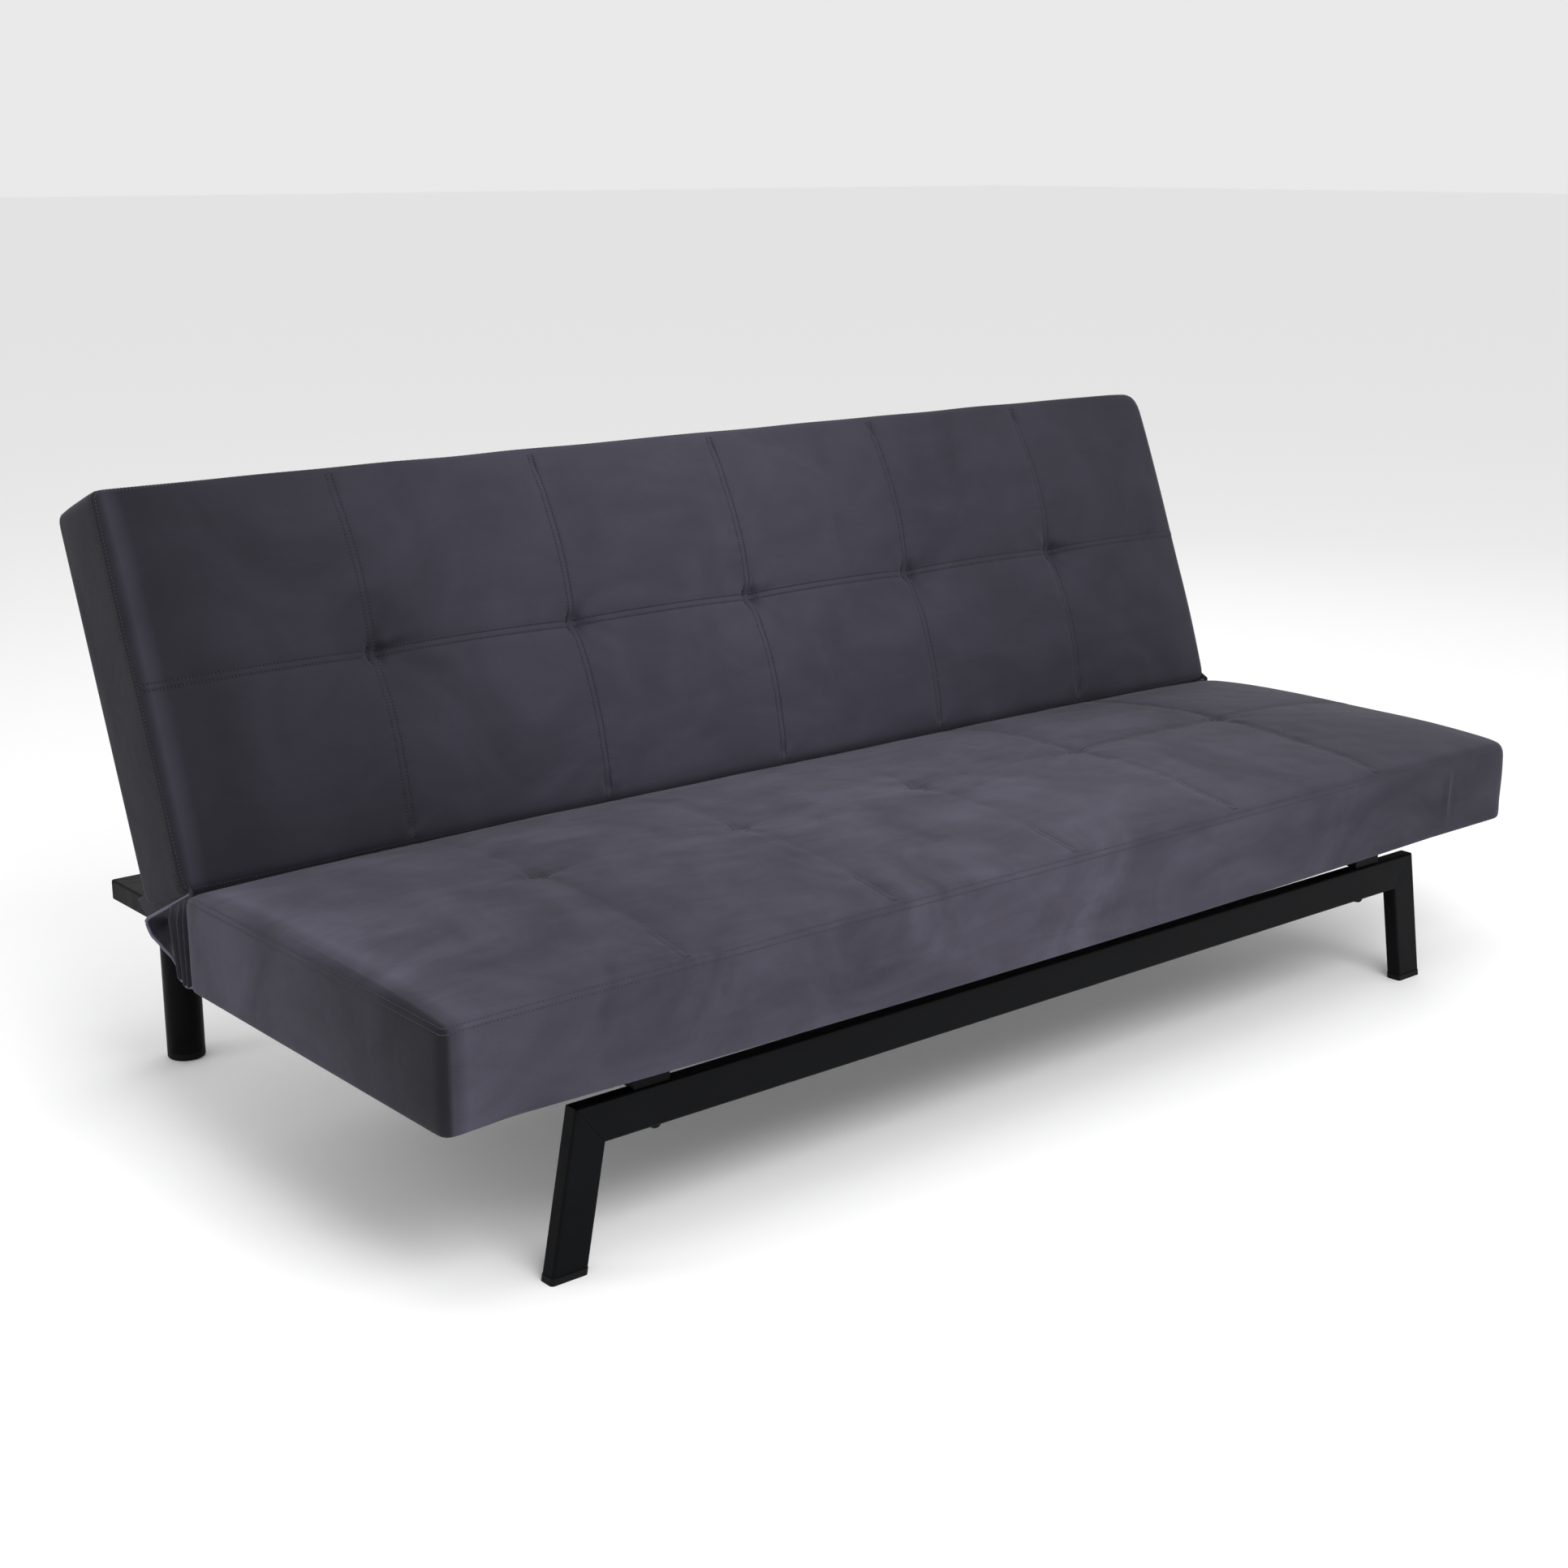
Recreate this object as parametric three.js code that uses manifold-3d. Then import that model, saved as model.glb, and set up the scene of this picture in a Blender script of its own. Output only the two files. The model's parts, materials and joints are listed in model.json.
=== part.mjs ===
// Futon sofa bed: a steel leg frame carries a padded seat and a padded back that folds flat behind it.
// Millimetres, +X to the sitter's left, -Y to the front, +Z up. The origin is on the floor, in the
// middle of the whole sofa. "left" is the -X end.
import * as THREE from "three";
import { mergeVertices } from "three/addons/utils/BufferGeometryUtils.js";
import Module from "manifold-3d";

const wasm = await Module();
wasm.setup();

// ---- driving dimensions ----
const LENGTH = 1800; // seat and back, end to end
const DEPTH = 1020; // seat front to the ends of the rear arms
const SEAT_DEPTH = 565;
const BACK_HEIGHT = 487; // along the slope of the back
const PAD = 112; // thickness of the seat and of the back
const SEAT_BASE = 222; // underside of the seat
const RECLINE = 21.2; // degrees that the back leans from upright
const GAP = 0.3; // between solids that touch

const FRONT = -DEPTH / 2;
const SEAT_REAR = FRONT + SEAT_DEPTH;
const SEAT_TOP = SEAT_BASE + PAD;
const LEAN = THREE.MathUtils.degToRad(RECLINE);

// The hinge stands in the wedge between seat and back. Its height follows from where the back has to
// lie when it is flat: level with the seat and just clear of the arms under it.
const HINGE_BEHIND_SEAT = 13.6;
const FLAT_CLEARANCE = 0.5;
const HINGE_DROP = (HINGE_BEHIND_SEAT * Math.cos(LEAN) - FLAT_CLEARANCE) / (1 - Math.sin(LEAN));
const HINGE_Y = SEAT_REAR + HINGE_BEHIND_SEAT;
const HINGE_Z = SEAT_TOP - HINGE_DROP;
// The same axis seen from the back: how deep it lies from the front face, and how far below the pad.
const HINGE_IN_BACK = HINGE_BEHIND_SEAT * Math.cos(LEAN) + HINGE_DROP * Math.sin(LEAN);
const HINGE_BELOW_BACK = HINGE_DROP * Math.cos(LEAN) - HINGE_BEHIND_SEAT * Math.sin(LEAN);

// front leg frame, a wide arch of flat tube
const ARCH = { halfTop: 732, halfFloor: 769, top: 193.2, setback: 28, height: 47.5, depth: 21.5, legWidth: 46 };
const TUBE_WALL = 2;
const TUBE_CORNER = 3;
const FOOT_HEIGHT = 8;
const PLUG_LENGTH = 22;
const SPLAY = Math.atan((ARCH.halfFloor - ARCH.halfTop) / ARCH.top);

// flat tubes of the base that lie right under the seat
const BASE_TUBE = { width: 50, top: SEAT_BASE - GAP, bottom: ARCH.top + GAP };
const BASE_HEIGHT = BASE_TUBE.top - BASE_TUBE.bottom;
const BASE_RAIL_X = 630;
const BASE_RAIL_FRONT = FRONT + 32;
const CROSS_RAIL_Y = FRONT + 625;
const ARM_X = 775;
const ARM_FRONT = FRONT + 420;
const ARM_CAP = 3;
const REAR_LEG = { x: 768, y: FRONT + 893, radius: 25, wall: 2, glide: 10 };
const BOLT_OFFSET = 8; // bolts sit this far outside the middle of each base rail

// seat and back, built alike: a cover, foam, a tube frame, slats and a dust cloth
const COVER = 2.5;
const EDGE = 14; // rounding round the face
const UNDER_EDGE = 5; // and round the open side, where the cover is pulled tight over the frame
const CORNER = 18;
const CROWN = 24; // how far the middle of a face stands above its edges
const CROWN_REACH = 0.96; // the share of the way to the middle where the crown turns flat
const CROWN_RINGS = 6;
const STAPLE_LIP = 42;
const FRAME_INSET = 16;
const FRAME_TUBE = 25;
const FRAME_LIFT = 4; // frame above the open side of the pad
const SLAT = { width: 60, thickness: 8, pitch: 300, count: 5 };

// hinge plates, layer by layer from the arm towards the middle of the sofa
const PLATE = 5;
const LAYER_GAP = 0.8;
const PLATE_RADIUS = 11;
const PIN_RADIUS = 5;
const POST_OUTER = ARM_X - BASE_TUBE.width / 2 - GAP;
const POST_X = POST_OUTER - PLATE / 2;
const SEAT_ARM_X = POST_X - PLATE - LAYER_GAP;
const RATCHET_X = SEAT_ARM_X - PLATE - LAYER_GAP;
const BACK_ARM_X = POST_X + PLATE + LAYER_GAP;
const PAWL_DROP = 46; // pawl pin below the hinge axis
const PAWL_PIN_RADIUS = 3.5;
const RATCHET = { teeth: 12, tip: 12.4, root: 10.4 };

const SIDES = { left: -1, right: 1 };
const X_AXIS = new THREE.Vector3(1, 0, 0);
const Y_AXIS = new THREE.Vector3(0, 1, 0);
const Z_AXIS = new THREE.Vector3(0, 0, 1);

// ---- materials ----
const finish = (color, roughness, metalness) => new THREE.MeshStandardMaterial({ color, roughness, metalness });
const blackSteel = () => finish(0x15171a, 0.45, 0.6);
const zincSteel = () => finish(0x9a9ca0, 0.35, 0.9);
const blackPlastic = () => finish(0x121212, 0.6, 0);
const velvet = () => finish(0x3c3b47, 0.9, 0);
const foamWhite = () => finish(0xe8e2c8, 0.95, 0);
const beech = () => finish(0xc9a77a, 0.7, 0);
const dustCloth = () => finish(0x1b1b1d, 0.95, 0);

// ---- small tools ----
const sofa = new THREE.Group();
const seat = new THREE.Group();
const back = new THREE.Group();
sofa.add(seat, back);

function add(name, geometry, material, parent = sofa) {
  const mesh = new THREE.Mesh(geometry, material);
  mesh.name = name;
  parent.add(mesh);
  return mesh;
}

function toSolid(geometry) {
  const bare = geometry.clone();
  bare.deleteAttribute("normal");
  bare.deleteAttribute("uv");
  const merged = mergeVertices(bare, 1e-4);
  return new wasm.Manifold(
    new wasm.Mesh({
      numProp: 3,
      vertProperties: new Float32Array(merged.attributes.position.array),
      triVerts: new Uint32Array(merged.index.array),
    }),
  );
}

function toGeometry(solid) {
  const mesh = solid.getMesh();
  const geometry = new THREE.BufferGeometry();
  geometry.setAttribute("position", new THREE.BufferAttribute(new Float32Array(mesh.vertProperties), 3));
  geometry.setIndex(new THREE.BufferAttribute(new Uint32Array(mesh.triVerts), 1));
  return geometry;
}

const cut = (body, ...tools) =>
  toGeometry(tools.reduce((rest, tool) => rest.subtract(toSolid(tool)), toSolid(body)));
const join = (body, ...others) =>
  toGeometry(others.reduce((rest, other) => rest.add(toSolid(other)), toSolid(body)));

function arc(cx, cy, radius, from, to, steps) {
  return Array.from({ length: steps + 1 }, (_, i) => {
    const angle = from + ((to - from) * i) / steps;
    return new THREE.Vector2(cx + radius * Math.cos(angle), cy + radius * Math.sin(angle));
  });
}

function roundedRect(width, height, radius, steps = 3) {
  const w = width / 2 - radius;
  const h = height / 2 - radius;
  const quarter = Math.PI / 2;
  return [
    ...arc(w, -h, radius, -quarter, 0, steps),
    ...arc(w, h, radius, 0, quarter, steps),
    ...arc(-w, h, radius, quarter, 2 * quarter, steps),
    ...arc(-w, -h, radius, 2 * quarter, 3 * quarter, steps),
  ];
}

// A centred bar along one axis. The section's first size lies along the next axis in X, Y, Z order.
const BAR_TURN = {
  x: new THREE.Matrix4().makeBasis(Y_AXIS, Z_AXIS, X_AXIS),
  y: new THREE.Matrix4().makeBasis(Z_AXIS, X_AXIS, Y_AXIS),
  z: new THREE.Matrix4(),
};

function bar(axis, length, first, second, corner = TUBE_CORNER, wall = 0) {
  const section = new THREE.Shape(roundedRect(first, second, corner));
  if (wall) {
    section.holes.push(new THREE.Path(roundedRect(first - 2 * wall, second - 2 * wall, corner - wall / 2)));
  }
  const geometry = new THREE.ExtrudeGeometry(section, { depth: length, bevelEnabled: false });
  return geometry.translate(0, 0, -length / 2).applyMatrix4(BAR_TURN[axis]);
}

const tube = (axis, length, first, second) => bar(axis, length, first, second, TUBE_CORNER, TUBE_WALL);

// A flat plate in the YZ plane, centred on X, with round holes.
function plate(outline, thickness, holes = []) {
  const shape = new THREE.Shape(outline);
  for (const [y, z, radius] of holes) {
    shape.holes.push(new THREE.Path(arc(y, z, radius, 0, 2 * Math.PI, 20).slice(0, -1)));
  }
  const geometry = new THREE.ExtrudeGeometry(shape, { depth: thickness, bevelEnabled: false });
  return geometry.translate(0, 0, -thickness / 2).applyMatrix4(BAR_TURN.x);
}

// A turned piece about Z, or about X. The profile runs from the axis out, up and back to the axis.
const turned = (profile, segments) =>
  new THREE.LatheGeometry(profile.map(([r, z]) => new THREE.Vector2(r, z)), segments).rotateX(Math.PI / 2);
const turnedAlongX = (profile, segments) => turned(profile, segments).rotateY(Math.PI / 2);

const block = (low, high) =>
  new THREE.BoxGeometry(high[0] - low[0], high[1] - low[1], high[2] - low[2]).translate(
    (low[0] + high[0]) / 2,
    (low[1] + high[1]) / 2,
    (low[2] + high[2]) / 2,
  );

// Everything on one side of a plane, as a very large block.
function halfSpace(point, normal) {
  const size = 4000;
  const turn = new THREE.Quaternion().setFromUnitVectors(Z_AXIS, normal.clone().normalize());
  return new THREE.BoxGeometry(size, size, size)
    .translate(0, 0, size / 2)
    .applyQuaternion(turn)
    .translate(point.x, point.y, point.z);
}

// ---- base: front arch ----
const archY = FRONT + ARCH.setback + ARCH.depth / 2;
const BOLT_X = BASE_RAIL_X - BOLT_OFFSET;

// The mitre runs from the outer top corner to where the inner edges of rail and leg meet.
function mitre(side) {
  const slant = (ARCH.height - ARCH.legWidth * Math.sin(SPLAY)) / Math.cos(SPLAY);
  const inner = ARCH.halfTop - ARCH.legWidth * Math.cos(SPLAY) + slant * Math.sin(SPLAY);
  const normal = new THREE.Vector3(-ARCH.height * side, 0, ARCH.halfTop - inner).normalize();
  const corner = new THREE.Vector3(ARCH.halfTop * side, 0, ARCH.top);
  return { normal, corner };
}

function frontRail() {
  let rail = tube("x", 2 * ARCH.halfTop, ARCH.depth, ARCH.height).translate(0, archY, ARCH.top - ARCH.height / 2);
  for (const side of Object.values(SIDES)) {
    const { normal, corner } = mitre(side);
    const face = corner.clone().addScaledVector(normal, GAP / 2);
    const boltHole = new THREE.CylinderGeometry(4.4, 4.4, 100, 16).rotateX(Math.PI / 2);
    rail = cut(rail, halfSpace(face, normal.clone().negate()), boltHole.translate(BOLT_X * side, archY, ARCH.top));
  }
  add("front_rail", rail, blackSteel());
}

// A bar along a splayed leg's line, from above the mitre to below the floor.
function alongLeg(side, piece) {
  const inward = ARCH.legWidth / 2;
  const middle = new THREE.Vector3(
    side * (ARCH.halfTop - inward * Math.cos(SPLAY)),
    archY,
    ARCH.top - inward * Math.sin(SPLAY),
  );
  const down = new THREE.Vector3(side * Math.sin(SPLAY), 0, -Math.cos(SPLAY));
  middle.addScaledVector(down, 100);
  return piece.rotateY(-side * SPLAY).translate(middle.x, middle.y, middle.z);
}

function frontLegs() {
  const floor = new THREE.Vector3(0, 0, 0);
  const down = Z_AXIS.clone().negate();
  for (const [name, side] of Object.entries(SIDES)) {
    const { normal, corner } = mitre(side);
    const face = corner.clone().addScaledVector(normal, -GAP / 2);
    const leg = alongLeg(side, tube("z", 320, ARCH.legWidth, ARCH.depth));
    const footTop = new THREE.Vector3(0, 0, FOOT_HEIGHT + GAP);
    add(`front_leg_${name}`, cut(leg, halfSpace(face, normal), halfSpace(footTop, down)), blackSteel());

    const cap = cut(
      alongLeg(side, bar("z", 320, ARCH.legWidth + 1.5, ARCH.depth + 1.5, TUBE_CORNER + 1)),
      halfSpace(floor, down),
      halfSpace(new THREE.Vector3(0, 0, FOOT_HEIGHT), Z_AXIS),
    );
    const inside = 2 * (TUBE_WALL + GAP);
    const plug = cut(
      alongLeg(side, bar("z", 320, ARCH.legWidth - inside, ARCH.depth - inside, 2)),
      halfSpace(new THREE.Vector3(0, 0, FOOT_HEIGHT - 1), down),
      halfSpace(new THREE.Vector3(0, 0, FOOT_HEIGHT + PLUG_LENGTH), Z_AXIS),
    );
    add(`front_foot_${name}`, join(cap, plug), blackPlastic());
  }
}

// ---- base: rails, arms and rear legs ----
const baseZ = (BASE_TUBE.top + BASE_TUBE.bottom) / 2;
const crossFront = CROSS_RAIL_Y - BASE_TUBE.width / 2;

function baseRails() {
  const length = crossFront - GAP - BASE_RAIL_FRONT;
  for (const [name, side] of Object.entries(SIDES)) {
    const endPlate = bar("y", TUBE_WALL, BASE_HEIGHT, BASE_TUBE.width).translate(0, (TUBE_WALL - length) / 2, 0);
    const rail = join(tube("y", length, BASE_HEIGHT, BASE_TUBE.width), endPlate);
    rail.translate(BASE_RAIL_X * side, BASE_RAIL_FRONT + length / 2, baseZ);
    const boltHole = new THREE.CylinderGeometry(4.4, 4.4, 10, 16).rotateX(Math.PI / 2);
    boltHole.translate(BOLT_X * side, archY, BASE_TUBE.bottom);
    add(`base_rail_${name}`, cut(rail, boltHole), blackSteel());
  }
  const cross = tube("x", 2 * POST_OUTER, BASE_TUBE.width, BASE_HEIGHT);
  add("rear_cross_rail", cross, blackSteel()).position.set(0, CROSS_RAIL_Y, baseZ);
}

function rearArms() {
  const end = -FRONT - ARM_CAP;
  const length = end - ARM_FRONT;
  for (const [name, side] of Object.entries(SIDES)) {
    const arm = tube("y", length, BASE_HEIGHT, BASE_TUBE.width);
    add(`rear_arm_${name}`, arm, blackSteel()).position.set(ARM_X * side, ARM_FRONT + length / 2, baseZ);
    const inside = 2 * (TUBE_WALL + GAP);
    const cap = join(
      bar("y", ARM_CAP - GAP, BASE_HEIGHT, BASE_TUBE.width).translate(0, (ARM_CAP + GAP) / 2, 0),
      bar("y", PLUG_LENGTH, BASE_HEIGHT - inside, BASE_TUBE.width - inside, 2).translate(0, 1 - PLUG_LENGTH / 2, 0),
    );
    add(`rear_arm_cap_${name}`, cap, blackPlastic()).position.set(ARM_X * side, end, baseZ);
  }
}

function rearLegs() {
  const { radius, wall, glide } = REAR_LEG;
  const height = BASE_TUBE.bottom - GAP - glide - GAP;
  const cup = [
    [0, height - wall],
    [radius - wall, height - wall],
    [radius - wall, 0],
    [radius, 0],
    [radius, height],
    [0, height],
  ];
  const round = arc(radius - 3, 3, 3, -Math.PI / 2, 0, 4).map((p) => [p.x, p.y]);
  const inside = radius - wall - GAP;
  const foot = [[0, 0], ...round, [radius, glide], [inside, glide], [inside, glide + PLUG_LENGTH], [0, glide + PLUG_LENGTH]];
  for (const [name, side] of Object.entries(SIDES)) {
    const x = REAR_LEG.x * side;
    add(`rear_leg_${name}`, turned(cup, 36), blackSteel()).position.set(x, REAR_LEG.y, glide + GAP);
    add(`rear_glide_${name}`, turned(foot, 36), blackPlastic()).position.set(x, REAR_LEG.y, 0);
  }
}

function railBolts() {
  const reach = ARCH.height + BASE_HEIGHT / 2;
  const profile = [[0, -5.5], [4.5, -5.5], [7, -3], [7, -GAP], [4, -GAP], [4, reach], [0, reach]];
  for (const [name, side] of Object.entries(SIDES)) {
    const bolt = add(`rail_bolt_${name}`, turned(profile, 18), zincSteel());
    bolt.position.set(BOLT_X * side, archY, ARCH.top - ARCH.height);
  }
}

// ---- hinges: one at each end ----
const PIN_HOLE = PIN_RADIUS + GAP;

// An upright strip with a round top at the hinge axis, on a foot of the given span. Points are
// relative to the hinge axis.
function postOutline(footTop, footBottom, footFront, footRear) {
  return [
    new THREE.Vector2(footFront, footBottom),
    new THREE.Vector2(footRear, footBottom),
    new THREE.Vector2(footRear, footTop),
    ...(footRear > PLATE_RADIUS ? [new THREE.Vector2(PLATE_RADIUS, footTop)] : []),
    ...arc(0, 0, PLATE_RADIUS, 0, Math.PI, 10),
    new THREE.Vector2(-PLATE_RADIUS, footTop),
    new THREE.Vector2(footFront, footTop),
  ];
}

function hingePosts() {
  const footTop = BASE_TUBE.top - HINGE_Z;
  const footBottom = BASE_TUBE.bottom - HINGE_Z;
  const outline = postOutline(footTop, footBottom, -60, crossFront - HINGE_Y - 2 * GAP);
  for (const [name, side] of Object.entries(SIDES)) {
    const post = add(`hinge_post_${name}`, plate(outline, PLATE, [[0, 0, PIN_HOLE]]), blackSteel());
    post.position.set(POST_X * side, HINGE_Y, HINGE_Z);
  }
}

function seatArms() {
  const frameRear = SEAT_REAR - FRAME_INSET + GAP - HINGE_Y;
  const footBottom = SEAT_BASE + FRAME_LIFT - HINGE_Z;
  const outline = postOutline(footBottom + FRAME_TUBE, footBottom, frameRear, PLATE_RADIUS - 0.1);
  const holes = [[0, 0, PIN_HOLE], [0, -PAWL_DROP, PAWL_PIN_RADIUS + GAP]];
  for (const [name, side] of Object.entries(SIDES)) {
    const arm = add(`seat_hinge_arm_${name}`, plate(outline, PLATE, holes), zincSteel());
    arm.position.set(SEAT_ARM_X * side, HINGE_Y, HINGE_Z);
  }
}

// In the back's own frame the arm runs from the hinge under the pad to the frame tube near its rear face.
function backArms() {
  const tubeRear = PAD - FRAME_LIFT;
  const tubeFront = tubeRear - FRAME_TUBE;
  const outline = [
    ...arc(HINGE_IN_BACK, -HINGE_BELOW_BACK, PLATE_RADIUS, Math.PI / 2, (3 * Math.PI) / 2, 10),
    new THREE.Vector2(tubeRear, -HINGE_BELOW_BACK - PLATE_RADIUS),
    new THREE.Vector2(tubeRear, FRAME_INSET - GAP),
    new THREE.Vector2(tubeFront, FRAME_INSET - GAP),
    new THREE.Vector2(tubeFront, -HINGE_BELOW_BACK + PLATE_RADIUS),
  ];
  const hole = [HINGE_IN_BACK, -HINGE_BELOW_BACK, PIN_HOLE];
  for (const [name, side] of Object.entries(SIDES)) {
    add(`back_hinge_arm_${name}`, plate(outline, PLATE, [hole]), zincSteel(), back).position.x = BACK_ARM_X * side;
  }
}

function hingePins() {
  const inner = RATCHET_X - PLATE / 2 - 1.5;
  const outer = BACK_ARM_X + PLATE / 2 + GAP;
  const profile = [[0, inner], [PIN_RADIUS, inner], [PIN_RADIUS, outer], [8, outer], [8, outer + 2.5], [0, outer + 4]];
  for (const [name, side] of Object.entries(SIDES)) {
    const pin = turnedAlongX(profile, 20);
    if (side < 0) pin.rotateZ(Math.PI);
    add(`hinge_pin_${name}`, pin, zincSteel()).position.set(0, HINGE_Y, HINGE_Z);
  }
}

function ratchets() {
  const outline = Array.from({ length: RATCHET.teeth }, (_, i) => {
    const from = (2 * Math.PI * i) / RATCHET.teeth;
    const to = (2 * Math.PI * (i + 0.82)) / RATCHET.teeth;
    return [
      new THREE.Vector2(RATCHET.root * Math.cos(from), RATCHET.root * Math.sin(from)),
      new THREE.Vector2(RATCHET.tip * Math.cos(to), RATCHET.tip * Math.sin(to)),
    ];
  }).flat();
  for (const [name, side] of Object.entries(SIDES)) {
    const disc = add(`ratchet_${name}`, plate(outline, PLATE, [[0, 0, PIN_HOLE]]), zincSteel());
    disc.position.set(RATCHET_X * side, HINGE_Y, HINGE_Z);
  }
}

// Each pawl stands on its pin with the tip just off the ratchet's teeth, and a coil spring beside it.
function pawls() {
  const tip = PAWL_DROP - RATCHET.tip - 0.8;
  const outline = [
    ...arc(0, 0, 7, (-7 * Math.PI) / 6, Math.PI / 6, 12),
    new THREE.Vector2(3, 14),
    new THREE.Vector2(0.5, tip),
    new THREE.Vector2(-2.5, tip),
    new THREE.Vector2(-7, 14),
  ];
  const springX = RATCHET_X - PLATE / 2 - 4.5;
  const pinProfile = [
    [0, springX - 5.5],
    [7.5, springX - 5.5],
    [7.5, springX - 4],
    [PAWL_PIN_RADIUS, springX - 4],
    [PAWL_PIN_RADIUS, SEAT_ARM_X + PLATE / 2],
    [0, SEAT_ARM_X + PLATE / 2],
  ];
  for (const [name, side] of Object.entries(SIDES)) {
    const z = HINGE_Z - PAWL_DROP;
    const pawl = add(`pawl_${name}`, plate(outline, PLATE, [[0, 0, PAWL_PIN_RADIUS + GAP]]), zincSteel());
    pawl.position.set(RATCHET_X * side, HINGE_Y, z);
    const pin = turnedAlongX(pinProfile, 16);
    if (side < 0) pin.rotateZ(Math.PI);
    add(`pawl_pin_${name}`, pin, zincSteel()).position.set(0, HINGE_Y, z);
    add(`pawl_spring_${name}`, coil(5.6, 0.6, 4, 6), zincSteel()).position.set(springX * side, HINGE_Y, z);
  }
}

// A close-wound coil about X, centred on the origin.
function coil(radius, wire, turns, width) {
  const helix = new THREE.Curve();
  helix.getPoint = (t) => {
    const angle = 2 * Math.PI * turns * t;
    return new THREE.Vector3((t - 0.5) * width, radius * Math.cos(angle), radius * Math.sin(angle));
  };
  const section = new THREE.Shape(arc(0, 0, wire, 0, 2 * Math.PI, 6).slice(0, -1));
  return new THREE.ExtrudeGeometry(section, { extrudePath: helix, steps: turns * 14 });
}

// ---- upholstered panels ----
// A closed body through a stack of convex outlines with equal numbers of points, from the bottom up.
function loft(layers) {
  const count = layers[0].points.length;
  const last = (layers.length - 1) * count;
  const index = [];
  for (let k = 0; k < last; k += count) {
    for (let i = 0; i < count; i += 1) {
      const next = (i + 1) % count;
      index.push(k + i, k + next, k + next + count, k + i, k + next + count, k + i + count);
    }
  }
  for (let i = 1; i + 1 < count; i += 1) {
    index.push(0, i + 1, i, last, last + i, last + i + 1);
  }
  const position = layers.flatMap(({ points, z }) => points.flatMap((p) => [p.x, p.y, z]));
  const geometry = new THREE.BufferGeometry();
  geometry.setAttribute("position", new THREE.Float32BufferAttribute(position, 3));
  return geometry.setIndex(index);
}

// A panel lies with its open side at z = 0 and the edges of its face at z = PAD, from y = 0 to
// y = across. From its edges the face rises to a crown in the middle.
function padSolid(inset, across) {
  const edge = EDGE - inset;
  const reach = across / 2 - EDGE;
  const profile = [
    ...arc(UNDER_EDGE, UNDER_EDGE, UNDER_EDGE - inset, -Math.PI / 2, -Math.PI, 3),
    ...arc(EDGE, PAD - EDGE, edge, Math.PI, Math.PI / 2, 4),
  ];
  for (let i = 1; i <= CROWN_RINGS; i += 1) {
    const share = (CROWN_REACH * i) / CROWN_RINGS;
    profile.push(new THREE.Vector2(EDGE + reach * share, PAD - inset + CROWN * share * (2 - share)));
  }
  const layers = profile.map(({ x: distance, y: z }) => {
    const corner = Math.max(CORNER - distance, 1);
    const points = roundedRect(LENGTH - 2 * distance, across - 2 * distance, corner, 4);
    return { points, z };
  });
  return loft(layers).translate(0, across / 2, 0);
}

// A slot through one wall of the pad, where a hinge arm comes out of it.
function armSlots(armX, low, high) {
  const half = PLATE / 2 + GAP;
  const top = FRAME_LIFT + FRAME_TUBE + 1;
  return Object.values(SIDES).map((side) => block([armX * side - half, low, -1], [armX * side + half, high, top]));
}

function panel(name, across, slots, parent) {
  const lipX = LENGTH / 2 - STAPLE_LIP;
  const opening = block([-lipX, STAPLE_LIP, -1], [lipX, across - STAPLE_LIP, COVER + 1]);
  add(`${name}_cover`, cut(padSolid(0, across), padSolid(COVER, across), opening, ...slots), velvet(), parent);

  const frameTop = FRAME_LIFT + FRAME_TUBE;
  const slatTop = frameTop + GAP + SLAT.thickness;
  const halfX = LENGTH / 2 - FRAME_INSET;
  const core = block(
    [-halfX - GAP, FRAME_INSET - GAP, -1],
    [halfX + GAP, across - FRAME_INSET + GAP, slatTop + GAP],
  );
  add(`${name}_foam`, cut(padSolid(COVER + GAP, across), core, ...slots), foamWhite(), parent);

  const cloth = block([-lipX + GAP, STAPLE_LIP + GAP, 0], [lipX - GAP, across - STAPLE_LIP - GAP, COVER]);
  add(`${name}_dust_cloth`, cloth, dustCloth(), parent);

  const frameZ = FRAME_LIFT + FRAME_TUBE / 2;
  const long = 2 * halfX;
  const near = FRAME_INSET + FRAME_TUBE / 2;
  for (const [end, y] of [["a", near], ["b", across - near]]) {
    add(`${name}_frame_long_${end}`, tube("x", long, FRAME_TUBE, FRAME_TUBE), blackSteel(), parent)
      .position.set(0, y, frameZ);
  }
  const short = across - 2 * (FRAME_INSET + FRAME_TUBE + GAP);
  for (const [end, side] of Object.entries(SIDES)) {
    add(`${name}_frame_end_${end}`, tube("y", short, FRAME_TUBE, FRAME_TUBE), blackSteel(), parent)
      .position.set(side * (halfX - FRAME_TUBE / 2), across / 2, frameZ);
  }
  for (let i = 0; i < SLAT.count; i += 1) {
    const slat = bar("y", across - 2 * FRAME_INSET, SLAT.thickness, SLAT.width, 2);
    const x = (i - (SLAT.count - 1) / 2) * SLAT.pitch;
    add(`${name}_slat_${i + 1}`, slat, beech(), parent).position.set(x, across / 2, slatTop - SLAT.thickness / 2);
  }
}

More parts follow.
